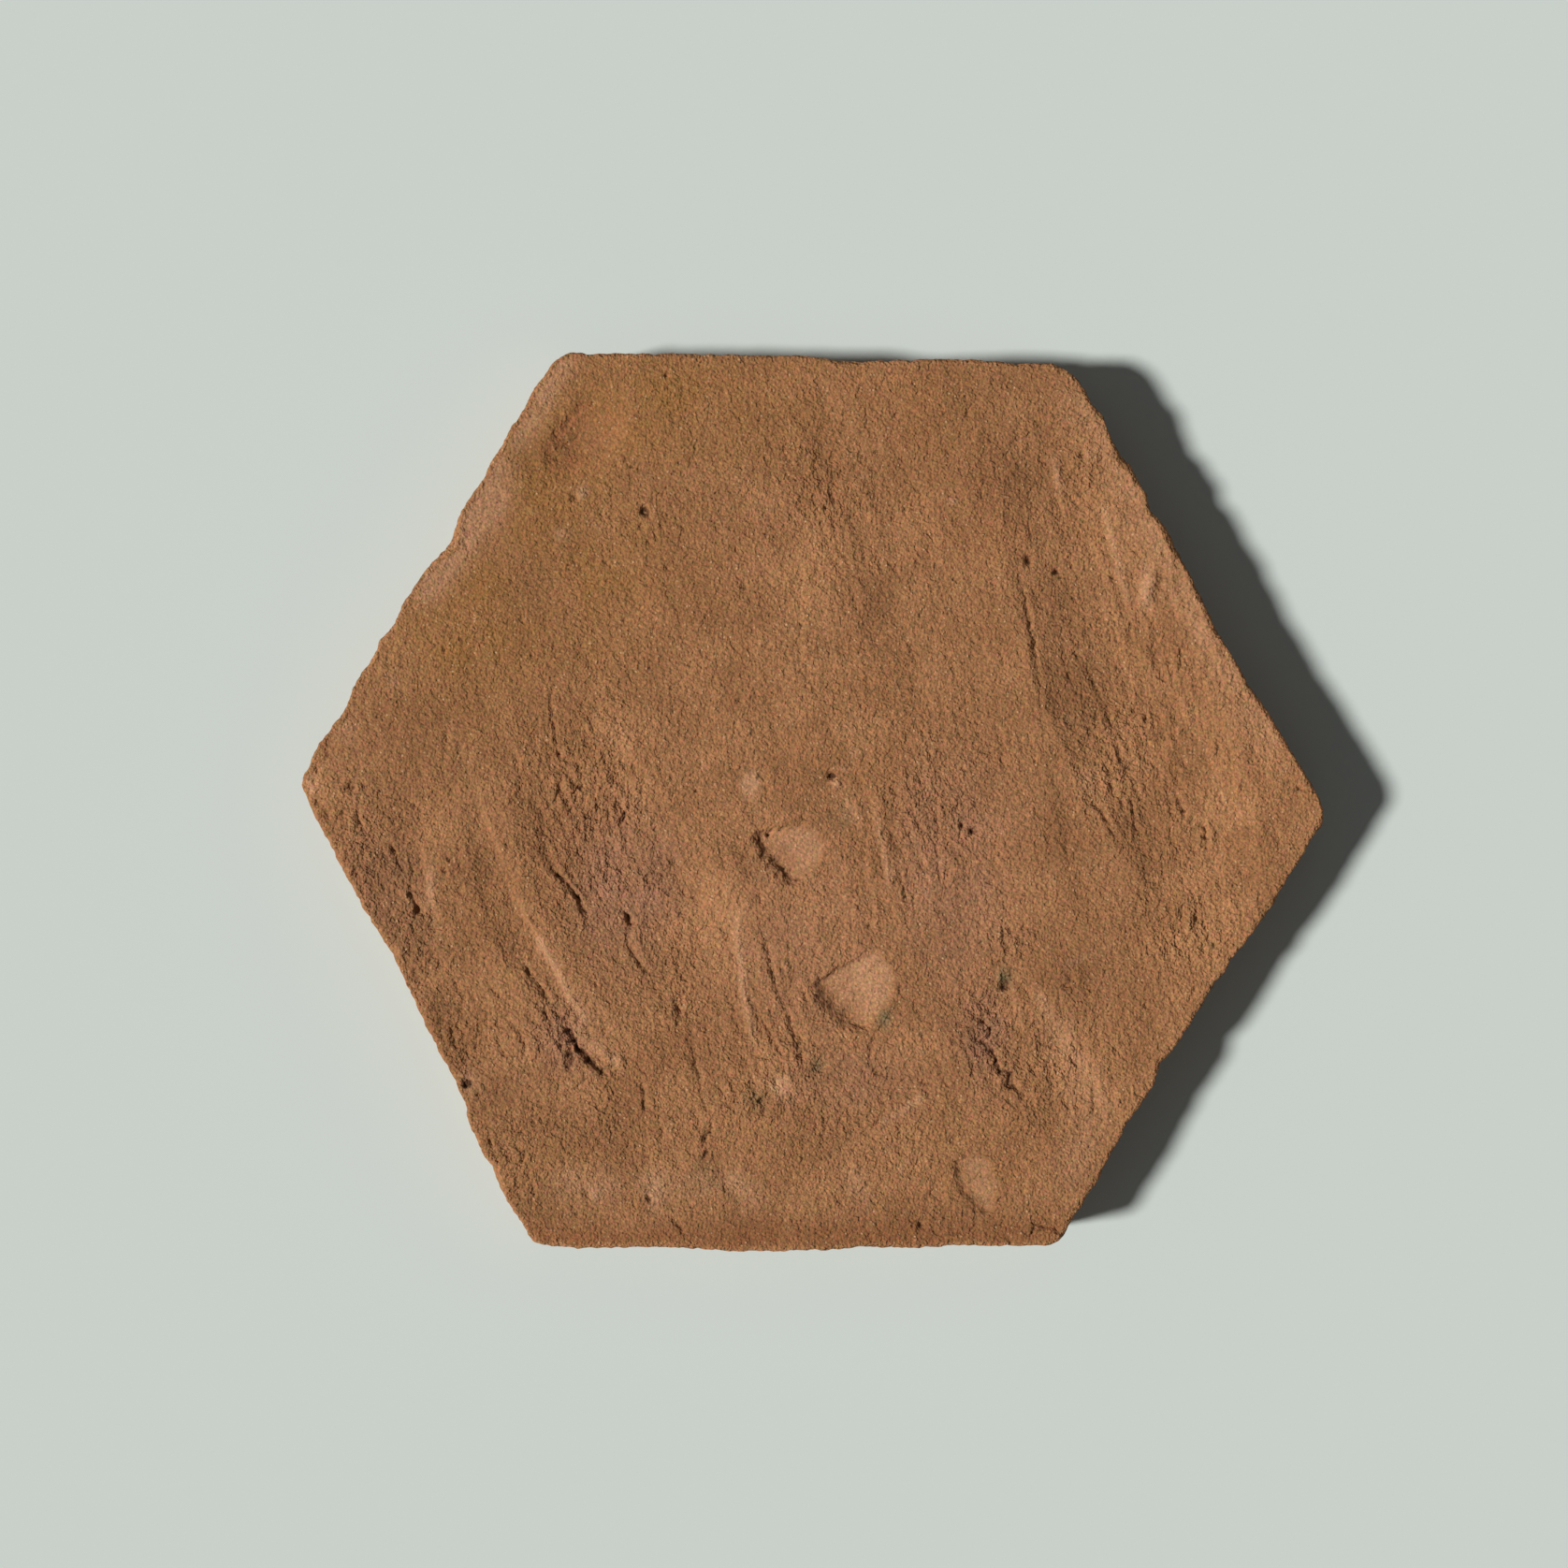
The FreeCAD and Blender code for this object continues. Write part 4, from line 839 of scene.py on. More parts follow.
def rounded_outline():
    """The tile's plan as points, clockwise, and the way out of it at each.

    A corner is an arc about the point at r / sin(half the corner's angle) along the corner's bisector. A side
    runs from arc to arc, and bows out by 4 b t (1 - t), where t is the share of the way along it.
    """
    table = np.array(CORNERS)
    corners, rounding, bow = table[:, :2], table[:, 2], table[:, 3]
    back = unit(np.roll(corners, 1, 0) - corners)
    ahead = unit(np.roll(corners, -1, 0) - corners)
    half = np.arccos(np.sum(back * ahead, 1)) / 2
    reach = (rounding / np.tan(half))[:, None]
    hearts = corners + unit(back + ahead) * (rounding / np.sin(half))[:, None]
    starts, ends = corners + back * reach, corners + ahead * reach
    share = np.linspace(0, 1, OUTLINE_STEPS, endpoint=False)[:, None]
    pieces = []
    for number, heart in enumerate(hearts):
        first, last = starts[number] - heart, ends[number] - heart
        angle = math.atan2(first[1], first[0])
        turn = (math.atan2(last[1], last[0]) - angle + math.pi) % math.tau - math.pi
        sweep = angle + turn * share[:, 0]
        pieces.append(heart + rounding[number] * np.stack((np.cos(sweep), np.sin(sweep)), 1))
        side = starts[(number + 1) % len(hearts)] - ends[number]
        out = unit(np.array((-side[1], side[0])))
        pieces.append(ends[number] + side * share + out * 4 * bow[number] * share * (1 - share))
    points = np.concatenate(pieces)
    travel = np.roll(points, -1, 0) - np.roll(points, 1, 0)
    return points, unit(np.stack((-travel[:, 1], travel[:, 0]), 1))


def along_sides(outline, rows):
    """The sum of bell curves h exp(-(d/w)^2), where d is the way along the outline from a row's own place."""
    steps = np.linalg.norm(np.roll(outline, -1, 0) - outline, axis=1)
    travelled, whole = np.cumsum(steps) - steps, steps.sum()
    total = np.zeros(len(outline))
    for side, share, half, height in rows:
        start = travelled[(2 * side + 1) * OUTLINE_STEPS]
        end = travelled[(2 * side + 2) * OUTLINE_STEPS - 1]
        away = (travelled - start - share * (end - start) + whole / 2) % whole - whole / 2
        total += height * np.exp(-((away / half) ** 2))
    return total


def look_up(angles, known, values):
    """Values at angles about the middle, blended from those known at other angles, all the way round."""
    order = np.argsort(known)
    columns = [np.interp(angles, known[order], column[order], period=math.tau) for column in values.T]
    return np.stack(columns, 1)


def straight_grid():
    """The face as three rhombi of square cells about its middle: places, shares out to the rim, and cells.

    A rhombus lies between the middle and corners p, q and r, and its places are
    a (1 - b) p + a b q + (1 - a) b r. The share out to the rim is the larger of a and b.
    """
    corners = np.array(CORNERS)[:, :2]
    steps = np.linspace(0, 1, FACE_STEPS + 1)
    a, b = (grid.reshape(-1, 1) for grid in np.meshgrid(steps, steps, indexing="ij"))
    places, shares, cells = [], [], []
    rows = np.arange(FACE_STEPS)
    first = (rows[:, None] * (FACE_STEPS + 1) + rows).reshape(-1)
    square = np.stack((first, first + 1, first + FACE_STEPS + 2, first + FACE_STEPS + 1), 1)
    for number in range(3):
        p, q, r = (corners[(2 * number + step) % 6] for step in range(3))
        places.append(a * (1 - b) * p + a * b * q + (1 - a) * b * r)
        shares.append(np.maximum(a, b)[:, 0])
        cells.append(square + number * len(a))
    places, shares = np.concatenate(places), np.concatenate(shares)
    _, kept, merged = np.unique(np.round(places, 5), axis=0, return_index=True, return_inverse=True)
    return places[kept], shares[kept], merged.reshape(-1)[np.concatenate(cells)]


def from_run(places, run):
    """The way from a run of straight lines, above nought to its left, and the share along it."""
    run = np.array(run)
    lengths = np.linalg.norm(np.diff(run, axis=0), axis=1)
    nearest = np.full(len(places), np.inf)
    way, share = np.zeros(len(places)), np.zeros(len(places))
    for number, (start, end) in enumerate(zip(run, run[1:])):
        line = end - start
        along = np.clip((places - start) @ line / lengths[number] ** 2, 0, 1)
        offset = places - start - along[:, None] * line
        distance = np.linalg.norm(offset, axis=1)
        left = np.sign(line[0] * offset[:, 1] - line[1] * offset[:, 0])
        closer = distance < nearest
        nearest[closer] = distance[closer]
        way[closer] = (left * distance)[closer]
        share[closer] = ((lengths[:number].sum() + along * lengths[number]) / lengths.sum())[closer]
    return way, share


def near(places, points, margin):
    """Which places lie in the box about some points, with a margin."""
    points = np.array(points)
    low, high = points.min(0) - margin, points.max(0) + margin
    return np.flatnonzero(np.all((places > low) & (places < high), axis=1))


def heading_way(heading):
    """The way that a heading points: (cos h, sin h)."""
    return np.array((math.cos(math.radians(heading)), math.sin(math.radians(heading))))


def dish(places):
    """Height of the dished face over a level slab's: -d (1 - (r/R)^2), and nought beyond R."""
    radius = np.linalg.norm(places, axis=1)
    return np.minimum(-DISH_DEPTH * (1 - (radius / DISH_REACH) ** 2), 0)


def swipe_height(places, swipe):
    """Height of a swipe's trough: its bottom's, and over it d (w/W)^2 and the rise of a tilted ring along it.

    The way w is measured from the ring's circle in plan, W is half the width, and the ring rises as
    d (1 - cos f) / (1 - cos F), where f is the angle along it and F is that at the swipe's ends.
    """
    x, y, heading, bend, width, length, depth = swipe
    ahead = heading_way(heading)
    left = np.array((-ahead[1], ahead[0]))
    spoke = places - (np.array((x, y)) + left * bend)
    way = np.linalg.norm(spoke, axis=1) - bend
    along = np.arctan2(spoke @ ahead, -(spoke @ left))
    rise = (1 - np.cos(along)) / (1 - math.cos(length / bend / 2))
    return dish(np.array([[x, y]])) - depth * (1 - (2 * way / width) ** 2 - rise)


def streak_places(places):
    """Places as across and along the wiping of the face, whose lines lean and bend to the lower right."""
    x, y = places.T
    bent = smooth(10, -60, x) * (y < 0)
    return np.stack((x + (0.36 - 0.0016 * x) * y - 0.0016 * y * y * bent, y), 1)


def bells(places, rows):
    """The bell of each patch in turn: s exp(-(dx/a)^2 - (dy/b)^2)."""
    for x, y, breadth, height, strength in rows:
        away = ((places[:, 0] - x) / breadth) ** 2 + ((places[:, 1] - y) / height) ** 2
        yield strength * np.exp(-away)


def patches(places, rows):
    """A mask that is strongest at the middle of each patch: the largest of their bells, or nought."""
    mask = np.zeros(len(places))
    for bell in bells(places, rows):
        mask = np.maximum(mask, bell)
    return mask


def tones(places, rows):
    """How much lighter or darker than plain the clay is, by its tone and by painted light and shade: the sum
    of the rows' bells.
    """
    tone = np.zeros(len(places))
    for bell in bells(places, rows):
        tone += bell
    return tone


def bands(places, rows):
    """A mask that is strongest along each run: the largest of s exp(-(w/W)^2), w being the way from it."""
    mask = np.zeros(len(places))
    for strength, half, run in rows:
        way, _ = from_run(places, run)
        mask = np.maximum(mask, strength * np.exp(-((way / half) ** 2)))
    return mask


def ends_off(share, part):
    """One along a run, falling to nought over that part of it at each end."""
    return smooth(0, part, share) * smooth(1, 1 - part, share)


def strew(places, height, rows, seed, where):
    """Sinks specks d exp(-(u/U)^4 - (w/W)^2) at random places, u being about along the wiping."""
    count, length, width, depth = rows
    chance = np.random.default_rng(seed)
    middles = places[chance.choice(len(places), count, p=where / where.sum())]
    for middle in middles:
        turn = chance.normal(-1.25, 0.4)
        ahead = np.array((math.cos(turn), math.sin(turn)))
        long, wide = length * chance.uniform(0.4, 1) / 2, width * chance.uniform(0.6, 1) / 2
        some = near(places, (middle,), 1.6 * length)
        offset = places[some] - middle
        across = offset[:, 0] * ahead[1] - offset[:, 1] * ahead[0]
        speck = np.exp(-((offset @ ahead / long) ** 4) - (across / wide) ** 2)
        height[some] -= depth * chance.uniform(0.4, 1) * speck


def shaped_ground(places, wobble):
    """Height of the ground: the lowest of the dish and the swipes, with broad waves and the steps on it.

    A step falls by a smooth step across its run, and comes back as exp(-w/reach) beyond it.
    """
    waver = np.stack((mottle(places, WAVER_GRAIN, 11), mottle(places, WAVER_GRAIN, 12)), 1)
    ground = dish(places)
    for swipe in SWIPES:
        ground = np.minimum(ground, swipe_height(places, swipe))
    ground += layers(places, GROUND_WAVES)
    ground += layers(streak_places(places), DRAWN_WAVES)
    for drop, half, reach, run in STEPS:
        some = near(places, run, 3 * reach)
        way, share = from_run(places[some] + min(half, 1.6) * waver[some] + 0.3 * wobble[some], run)
        side = way * np.sign(drop)
        fall = smooth(-half, half, side) * np.exp(-np.maximum(side, 0) / reach)
        ground[some] -= abs(drop) * fall * ends_off(share, STEP_END)
    return ground


def raise_ridges(places, height, wobble):
    """Raises the ridges: h exp(-(w/W)^2), with w the way from the run and W half the breadth."""
    for tall, breadth, run in RIDGES:
        some = near(places, run, 2 * breadth + 1)
        way, share = from_run(places[some] + 0.25 * wobble[some], run)
        height[some] += tall * np.exp(-((2 * way / breadth) ** 2)) * ends_off(share, RIDGE_END)


def pluck_scars(places, ground, height, painted_shade, wobble):
    """Sinks the scars' floors and paints shade on their banks; gives masks of the scars and of what is pale.

    A floor lies below the ground by d (1 - u), where u is the share of the scar's length, and less than that
    on the bank. It carries the scratches of the plucking.
    """
    scarred, bared = np.zeros(len(places)), np.zeros(len(places))
    for corners, (heading, length, depth, bank, paleness) in SCARS:
        some = near(places, corners, 3)
        corners = np.array(corners)
        spots = places[some] + 0.5 * wobble[some]
        ways = [
            run[0] * (spots - corner)[:, 1] - run[1] * (spots - corner)[:, 0]
            for corner, run in zip(corners, unit(np.roll(corners, -1, 0) - corners))
        ]
        within = np.min(ways, axis=0)
        ahead = heading_way(heading)
        along = (places[some] - corners[1]) @ ahead / length
        scratch = places[some] @ np.array((ahead, (-ahead[1], ahead[0]))).T
        foot = np.clip(np.min(ways[:2], axis=0) / bank, 0, 1)
        sunk = depth * np.clip(1 - along, 0, 1) * foot
        torn = layers(scratch, SCAR_SCRATCHES)
        floor = ground[some] - 0.05 - sunk + torn
        inside = smooth(-0.2, 0.8, within)
        height[some] += inside * (np.minimum(floor, height[some] - 0.05) - height[some])
        scarred[some] = np.maximum(scarred[some], inside)
        open_floor = smooth(0.6, 1, foot) * smooth(0, 0.7, along + torn)
        bared[some] = np.maximum(bared[some], paleness * inside * open_floor * smooth(0, 1.6, within))
        # Painted shade on the steep bank.
        painted_shade[some] = np.maximum(painted_shade[some], 0.35 * inside * smooth(1, 0.7, foot))
    return scarred, bared


def cut_in(places, height, painted_shade, wobble):
    """Sinks the cuts as d exp(-(w/W)^2), with a low lip on both sides, and paints shade into them by their
    depth.
    """
    ragged = np.clip(1 + 0.7 * mottle(places, RAGGED_GRAIN, 25), 0.4, 1.7)
    for width, depth, run in CUTS:
        some = near(places, run, 3 * width + 1)
        way, share = from_run(places[some] + (0.2 + 0.25 * width) * wobble[some], run)
        way = way / ragged[some]
        taper = np.sqrt(ends_off(share, CUT_END))
        across = np.exp(-((2 * way / width) ** 2)) * taper * (0.8 + 0.5 * wobble[some, 1])
        lip = np.exp(-(((np.abs(way) - width) / (0.6 * width)) ** 2)) * taper
        height[some] += 0.25 * depth * lip - depth * across
        painted_shade[some] = np.maximum(painted_shade[some], across * smooth(0.2, 1.2, depth))


def pit(places, height, painted_shade, wobble):
    """Sinks the pits as d exp(-(r/R)^4), and paints shade into them by their depth."""
    for x, y, breadth, depth in PITS:
        some = near(places, ((x, y),), 2 * breadth)
        away = np.linalg.norm(places[some] + 0.4 * wobble[some] - (x, y), axis=1)
        bowl = np.exp(-((2 * away / breadth) ** 4))
        height[some] -= depth * bowl
        painted_shade[some] = np.maximum(painted_shade[some], bowl * smooth(0.3, 1.4, depth))


def face_relief(places):
    """Height of the face over a level slab's, and masks of what it shows, by place.

    Streaks and crumbs of flaked mottle lie on the ground. Then come ridges, specks, scars, cuts and pits.
    Last, the height is lowered towards the rim by a smooth step, and the whole is worn down to
    -s ln(1 + exp(-h/s)), which stays below the slab's level.
    """
    wobble = np.stack((mottle(places, WOBBLE_GRAIN, 8), mottle(places, WOBBLE_GRAIN, 9)), 1)
    ground = shaped_ground(places, wobble)
    streaked, crumbled, smoothed = (patches(places, rows) for rows in (STREAKED, CRUMBLED, SMOOTHED))
    uneven = 1 + 0.5 * mottle(places, 7, 13)
    streaked = (PLAIN_STREAKED + PATCH_STREAKED * streaked) * uneven
    crumbled = (PLAIN_CRUMBLED + PATCH_CRUMBLED * crumbled) * uneven
    keep = 1 - SMOOTHING * smoothed
    lines = streak_places(places)
    streaks = layers(lines, PLAIN_STREAKS) + layers(lines, FLAKY_STREAKS, flakes)
    crumbs = layers(places, FLAKY_CRUMBS, flakes)
    height = ground + keep * (streaks * streaked + crumbs * crumbled)

    raise_ridges(places, height, wobble)
    loose = (0.12 + crumbled + 0.5 * streaked) * keep
    strew(places, height, TICKS, 31, loose)
    strew(places, height, LUMPS, 32, loose)
    # Painted shade in the scars' banks, the cuts and the pits.
    painted_shade = np.zeros(len(places))
    scarred, bared = pluck_scars(places, ground, height, painted_shade, wobble)
    cut_in(places, height, painted_shade, wobble)
    pit(places, height, painted_shade, wobble)

    height -= RIM_WEAR * smooth(WEAR_STARTS, WEAR_ENDS, np.linalg.norm(places, axis=1))
    height = -WEAR_SOFTNESS * np.logaddexp(0, -height / WEAR_SOFTNESS)

    blotch = 1 + layers(places, BLOTCH_LAYERS)
    # Pale spots and scar floors, and painted highlight along lit ridges and steps.
    pale = np.maximum(patches(places, PALE_PATCHES), bands(places, PALE_AND_HIGHLIGHT_BANDS))
    plain = 1 - np.maximum(0.5 * smoothed, 0.35 * scarred)
    masks = {
        "ochre": patches(places, OCHRE_PATCHES) * blotch,
        "russet": bands(places, RUSSET_BANDS) * blotch,
        "plum": patches(places, PLUM_PATCHES) * blotch,
        # Dust bands, and painted light along the right rim.
        "dust_and_painted_light": bands(places, DUST_AND_LIGHT_BANDS) * blotch,
        "pale": np.maximum(bared, pale * blotch),
        "moss": patches(places, MOSS_PATCHES) * (1 + 0.6 * wobble[:, 0]),
        "painted_shade": painted_shade,
        "rough": np.clip(PLAIN_ROUGH + CRUMBLED_ROUGH * crumbled, 0, MOST_ROUGH) * plain,
        "drawn": streaked,
        # Partly the clay's own tone, partly painted light and shade.
        "tone": tones(places, TONES_AND_PAINTED_LIGHT) + layers(places, TONE_LAYERS),
    }
    return height, masks


def make_tile():
    """The tile as one closed skin: its face, worn arris, sides, lower arris and underside.

    The face's grid is stretched to the rim: a place at share s of the way out moves by s^6 of the way
    from the straight hexagon's rim to the real one. Around the rim a profile is carried: the worn arris
    as O - n a (1 - sin f), T - a (1 - cos f), then straight down, then the lower arris, then rings inwards.
    """
    outline, out = rounded_outline()
    outline = outline + along_sides(outline, RIM_MARKS)[:, None] * out
    arris = np.clip(MIDDLE_ARRIS + layers(outline, ARRIS_LAYERS), LEAST_ARRIS, MOST_ARRIS)
    arris = arris * WORN_ARRIS + along_sides(outline, CHIPS)
    known = np.arctan2(outline[:, 1], outline[:, 0])
    corners = np.array(CORNERS)[:, :2]
    share = np.linspace(0, 1, OUTLINE_STEPS, endpoint=False)[:, None]
    straight = np.concatenate([p + (q - p) * share for p, q in zip(corners, np.roll(corners, -1, 0))])
    straight_angles = np.arctan2(straight[:, 1], straight[:, 0])

    places, shares, cells = straight_grid()
    angles = np.arctan2(places[:, 1], places[:, 0])
    rim = look_up(angles, known, np.column_stack((outline, out, arris)))
    stretch = rim[:, :2] - rim[:, 4:] * rim[:, 2:4] - look_up(angles, straight_angles, straight)
    places = places + stretch * shares[:, None] ** 6
    edge = np.flatnonzero(shares > 1 - 1e-9)
    edge = edge[np.argsort(-angles[edge])]
    rim, ways, arris = rim[edge, :2], unit(rim[edge, 2:4]), rim[edge, 4]

    height, masks = face_relief(places)
    face = np.column_stack((places, THICKNESS + height))

    lean = np.linspace(0, math.pi / 2, ARRIS_ROWS + 1)[1:, None]
    low_lean = np.linspace(0, math.pi / 2, LOW_ARRIS_ROWS + 1)[1:, None]
    down = np.linspace(0, 1, WALL_ROWS + 1)[1:, None]
    ones = np.ones(len(edge))
    insets = np.concatenate(
        (arris * (1 - np.sin(lean)), 0 * down * ones, UNDERSIDE_ARRIS * (1 - np.cos(low_lean)) * ones)
    )
    heights = np.concatenate(
        (
            THICKNESS - arris * (1 - np.cos(lean)),
            (THICKNESS - arris) * (1 - down) + UNDERSIDE_ARRIS * down,
            UNDERSIDE_ARRIS * (1 - np.sin(low_lean)) * ones,
        )
    )
    outness = np.concatenate((np.sin(lean), np.ones_like(down), np.cos(low_lean)))
    upness = np.concatenate((np.cos(lean), np.zeros((WALL_ROWS + LOW_ARRIS_ROWS, 1))))
    plan = rim[None] - insets[..., None] * ways[None]
    band = np.concatenate((plan, heights[..., None]), 2)
    ragged = layers(band.reshape(-1, 3), SIDE_LAYERS) - SIDE_INSET
    band[..., :2] += (ragged.reshape(heights.shape) * outness)[..., None] * ways[None]
    band[..., 2] += upness * height[edge]

    last = band[-1]
    last[:, 2] = 0
    rings = last[None] * np.array(UNDERSIDE_RINGS)[:, None, None]
    skin = np.concatenate((face, band.reshape(-1, 3), rings.reshape(-1, 3), ((0, 0, 0),)))
    count = len(edge)
    added = np.arange((len(band) + len(rings)) * count).reshape(-1, count)
    loops = np.concatenate((edge[None], len(face) + added))
    upper, lower = loops[:-1], loops[1:]
    quads = np.stack((upper, np.roll(upper, -1, 1), np.roll(lower, -1, 1), lower), 2).reshape(-1, 4)
    tip = np.full(count, len(skin) - 1)
    fan = np.stack((loops[-1], np.roll(loops[-1], -1), tip), 1)

    mesh = bpy.data.meshes.new("tile")
    mesh.from_pydata((skin * METRES).tolist(), [], cells.tolist() + quads.tolist() + fan.tolist())
    for name, mask in masks.items():
        values = np.full(len(skin), 1.0 if name == "rough" else 0.0, np.float32)
        values[: len(face)] = mask
        mesh.attributes.new(name, "FLOAT", "POINT").data.foreach_set("value", values)
    mesh.polygons.foreach_set("use_smooth", np.ones(len(mesh.polygons), bool))
    tile = bpy.data.objects.new("fired_clay_tile", mesh)
    bpy.context.scene.collection.objects.link(tile)
    return tile


def thin_out(tile):
    """Spends fewer triangles where the clay is plain, and puts the result into the mesh."""
    corners = np.empty(len(tile.data.polygons), np.int32)
    tile.data.polygons.foreach_get("loop_total", corners)
    triangles = int((corners - 2).sum())
    thinning = tile.modifiers.new("thinning", "DECIMATE")
    thinning.ratio = MOST_TRIANGLES / triangles
    settled = tile.evaluated_get(bpy.context.evaluated_depsgraph_get())
    mesh = bpy.data.meshes.new_from_object(settled)
    tile.modifiers.clear()
    tile.data = mesh


def keep_inside(tile, box):
    """Moves each vertex that stands out of the solid's box to the nearest place on it."""
    low, high = np.array(box)
    vertices = tile.data.vertices
    places = np.empty(3 * len(vertices))
    vertices.foreach_get("co", places)
    vertices.foreach_set("co", np.clip(places.reshape(-1, 3), low, high).reshape(-1))
    tile.data.update()


# Roughness and shine of the clay.
CLAY_ROUGHNESS, CLAY_SHINE = 0.92, 0.15
# Grain of the clay's two tones, of its sand and of the raggedness of the shade painted in its hollows.
TONE_GRAIN, SAND_GRAIN, TORN_GRAIN = 14, 0.7, 0.9
# What the darkest and lightest tone with painted light and shade, and the darkest and lightest sand, multiply
# the colour by.
TONE_AND_LIGHT_SHADES = ((0.8, 0.79, 0.78, 1), (1.2, 1.2, 1.2, 1))
SAND_SHADES = ((0.82, 0.8, 0.78, 1), (1.18, 1.2, 1.22, 1))
# How strongly the tints and the bright grains colour the clay, and how strongly painted shade darkens the
# sunk grains and the hollows.
TINT_SHARE, BRIGHT_SHARE, PIT_SHADE_SHARE, PAINTED_SHADE_SHARE = 0.3, 0.75, 0.5, 0.85
# The bump's height in metres, and each grain's size and share of it.
BUMP_HEIGHT = 0.001
COARSE_GRAIN, COARSE_BUMP = 1.2, 0.38
FINE_GRAIN, FINE_BUMP = 0.6, 0.46
FLAKY_GRAIN, FLAKY_BUMP = 1.9, 0.16
DRAWN_GRAIN, DRAWN_BUMP = 0.9, 0.4
BRIGHT_BUMP, DARK_BUMP = 0.2, 0.15
# The drawn grain's lines are turned this far about the upright, and are this many times longer than broad.
DRAWN_TURN, DRAWN_STRETCH = 18, 5


def linear(colour):
    """A colour out of 255, as light: ((c + 0.055) / 1.055)^2.4 above 0.04045 and c / 12.92 below."""
    shares = np.array(colour) / 255
    light = np.where(shares > 0.04045, ((shares + 0.055) / 1.055) ** 2.4, shares / 12.92)
    return (*light.tolist(), 1.0)


class Nodes:
    """Shorthand for joining a material's nodes; every value given is a socket, a number or a colour."""

    def __init__(self, tree):
        self.tree = tree
        self.where = tree.nodes.new("ShaderNodeTexCoord").outputs["Object"]

    def put(self, socket, value):
        """Joins a socket to a socket, or sets it to a value."""
        if isinstance(value, bpy.types.NodeSocket):
            self.tree.links.new(value, socket)
        else:
            socket.default_value = value

    def mask(self, name):
        """A mask that the mesh carries."""
        node = self.tree.nodes.new("ShaderNodeAttribute")
        node.attribute_name = name
        return node.outputs["Fac"]

    def mix(self, factor, first, second, kind="MIX"):
        """Two colours blended by a share."""
        node = self.tree.nodes.new("ShaderNodeMix")
        node.data_type, node.blend_type = "RGBA", kind
        for socket, value in ((node.inputs[0], factor), (node.inputs[6], first), (node.inputs[7], second)):
            self.put(socket, value)
        return node.outputs[2]

    def reckon(self, kind, first, second):
        """Two numbers joined by arithmetic."""
        node = self.tree.nodes.new("ShaderNodeMath")
        node.operation = kind
        self.put(node.inputs[0], first)
        self.put(node.inputs[1], second)
        return node.outputs[0]

    def times(self, first, second):
        """One number times another."""
        return self.reckon("MULTIPLY", first, second)

    def plus(self, first, second):
        """One number and another together."""
        return self.reckon("ADD", first, second)

    def unevenness(self, grain, detail, where=None):
        """Smooth random unevenness about a half, whose grain is that many millimetres: number and colour."""
        node = self.tree.nodes.new("ShaderNodeTexNoise")
        node.inputs["Scale"].default_value = 1 / (grain * METRES)
        node.inputs["Detail"].default_value = detail
        self.put(node.inputs["Vector"], where or self.where)
        return node.outputs[0], node.outputs["Color"]

    def noise(self, grain, detail, where=None):
        """The number of an unevenness."""
        return self.unevenness(grain, detail, where)[0]

    def grains(self, size):
        """Scattered grains of about that size: the way from the nearest one's middle, and its own chance."""
        node = self.tree.nodes.new("ShaderNodeTexVoronoi")
        node.inputs["Scale"].default_value = 1 / (size * METRES)
        self.put(node.inputs["Vector"], self.where)
        return node.outputs["Distance"], node.outputs["Color"]

    def spread(self, value, low, high):
        """A value taken from low..high to nought..one, and clipped there."""
        node = self.tree.nodes.new("ShaderNodeMapRange")
        node.inputs["From Min"].default_value = low
        node.inputs["From Max"].default_value = high
        self.put(node.inputs["Value"], value)
        return node.outputs[0]

    def turned(self, angle, stretch):
        """Places turned about the upright axis, then squeezed along the tile's own y."""
        node = self.tree.nodes.new("ShaderNodeMapping")
        node.inputs["Rotation"].default_value[2] = math.radians(angle)
        node.inputs["Scale"].default_value[1] = 1 / stretch
        self.put(node.inputs["Vector"], self.where)
        return node.outputs[0]


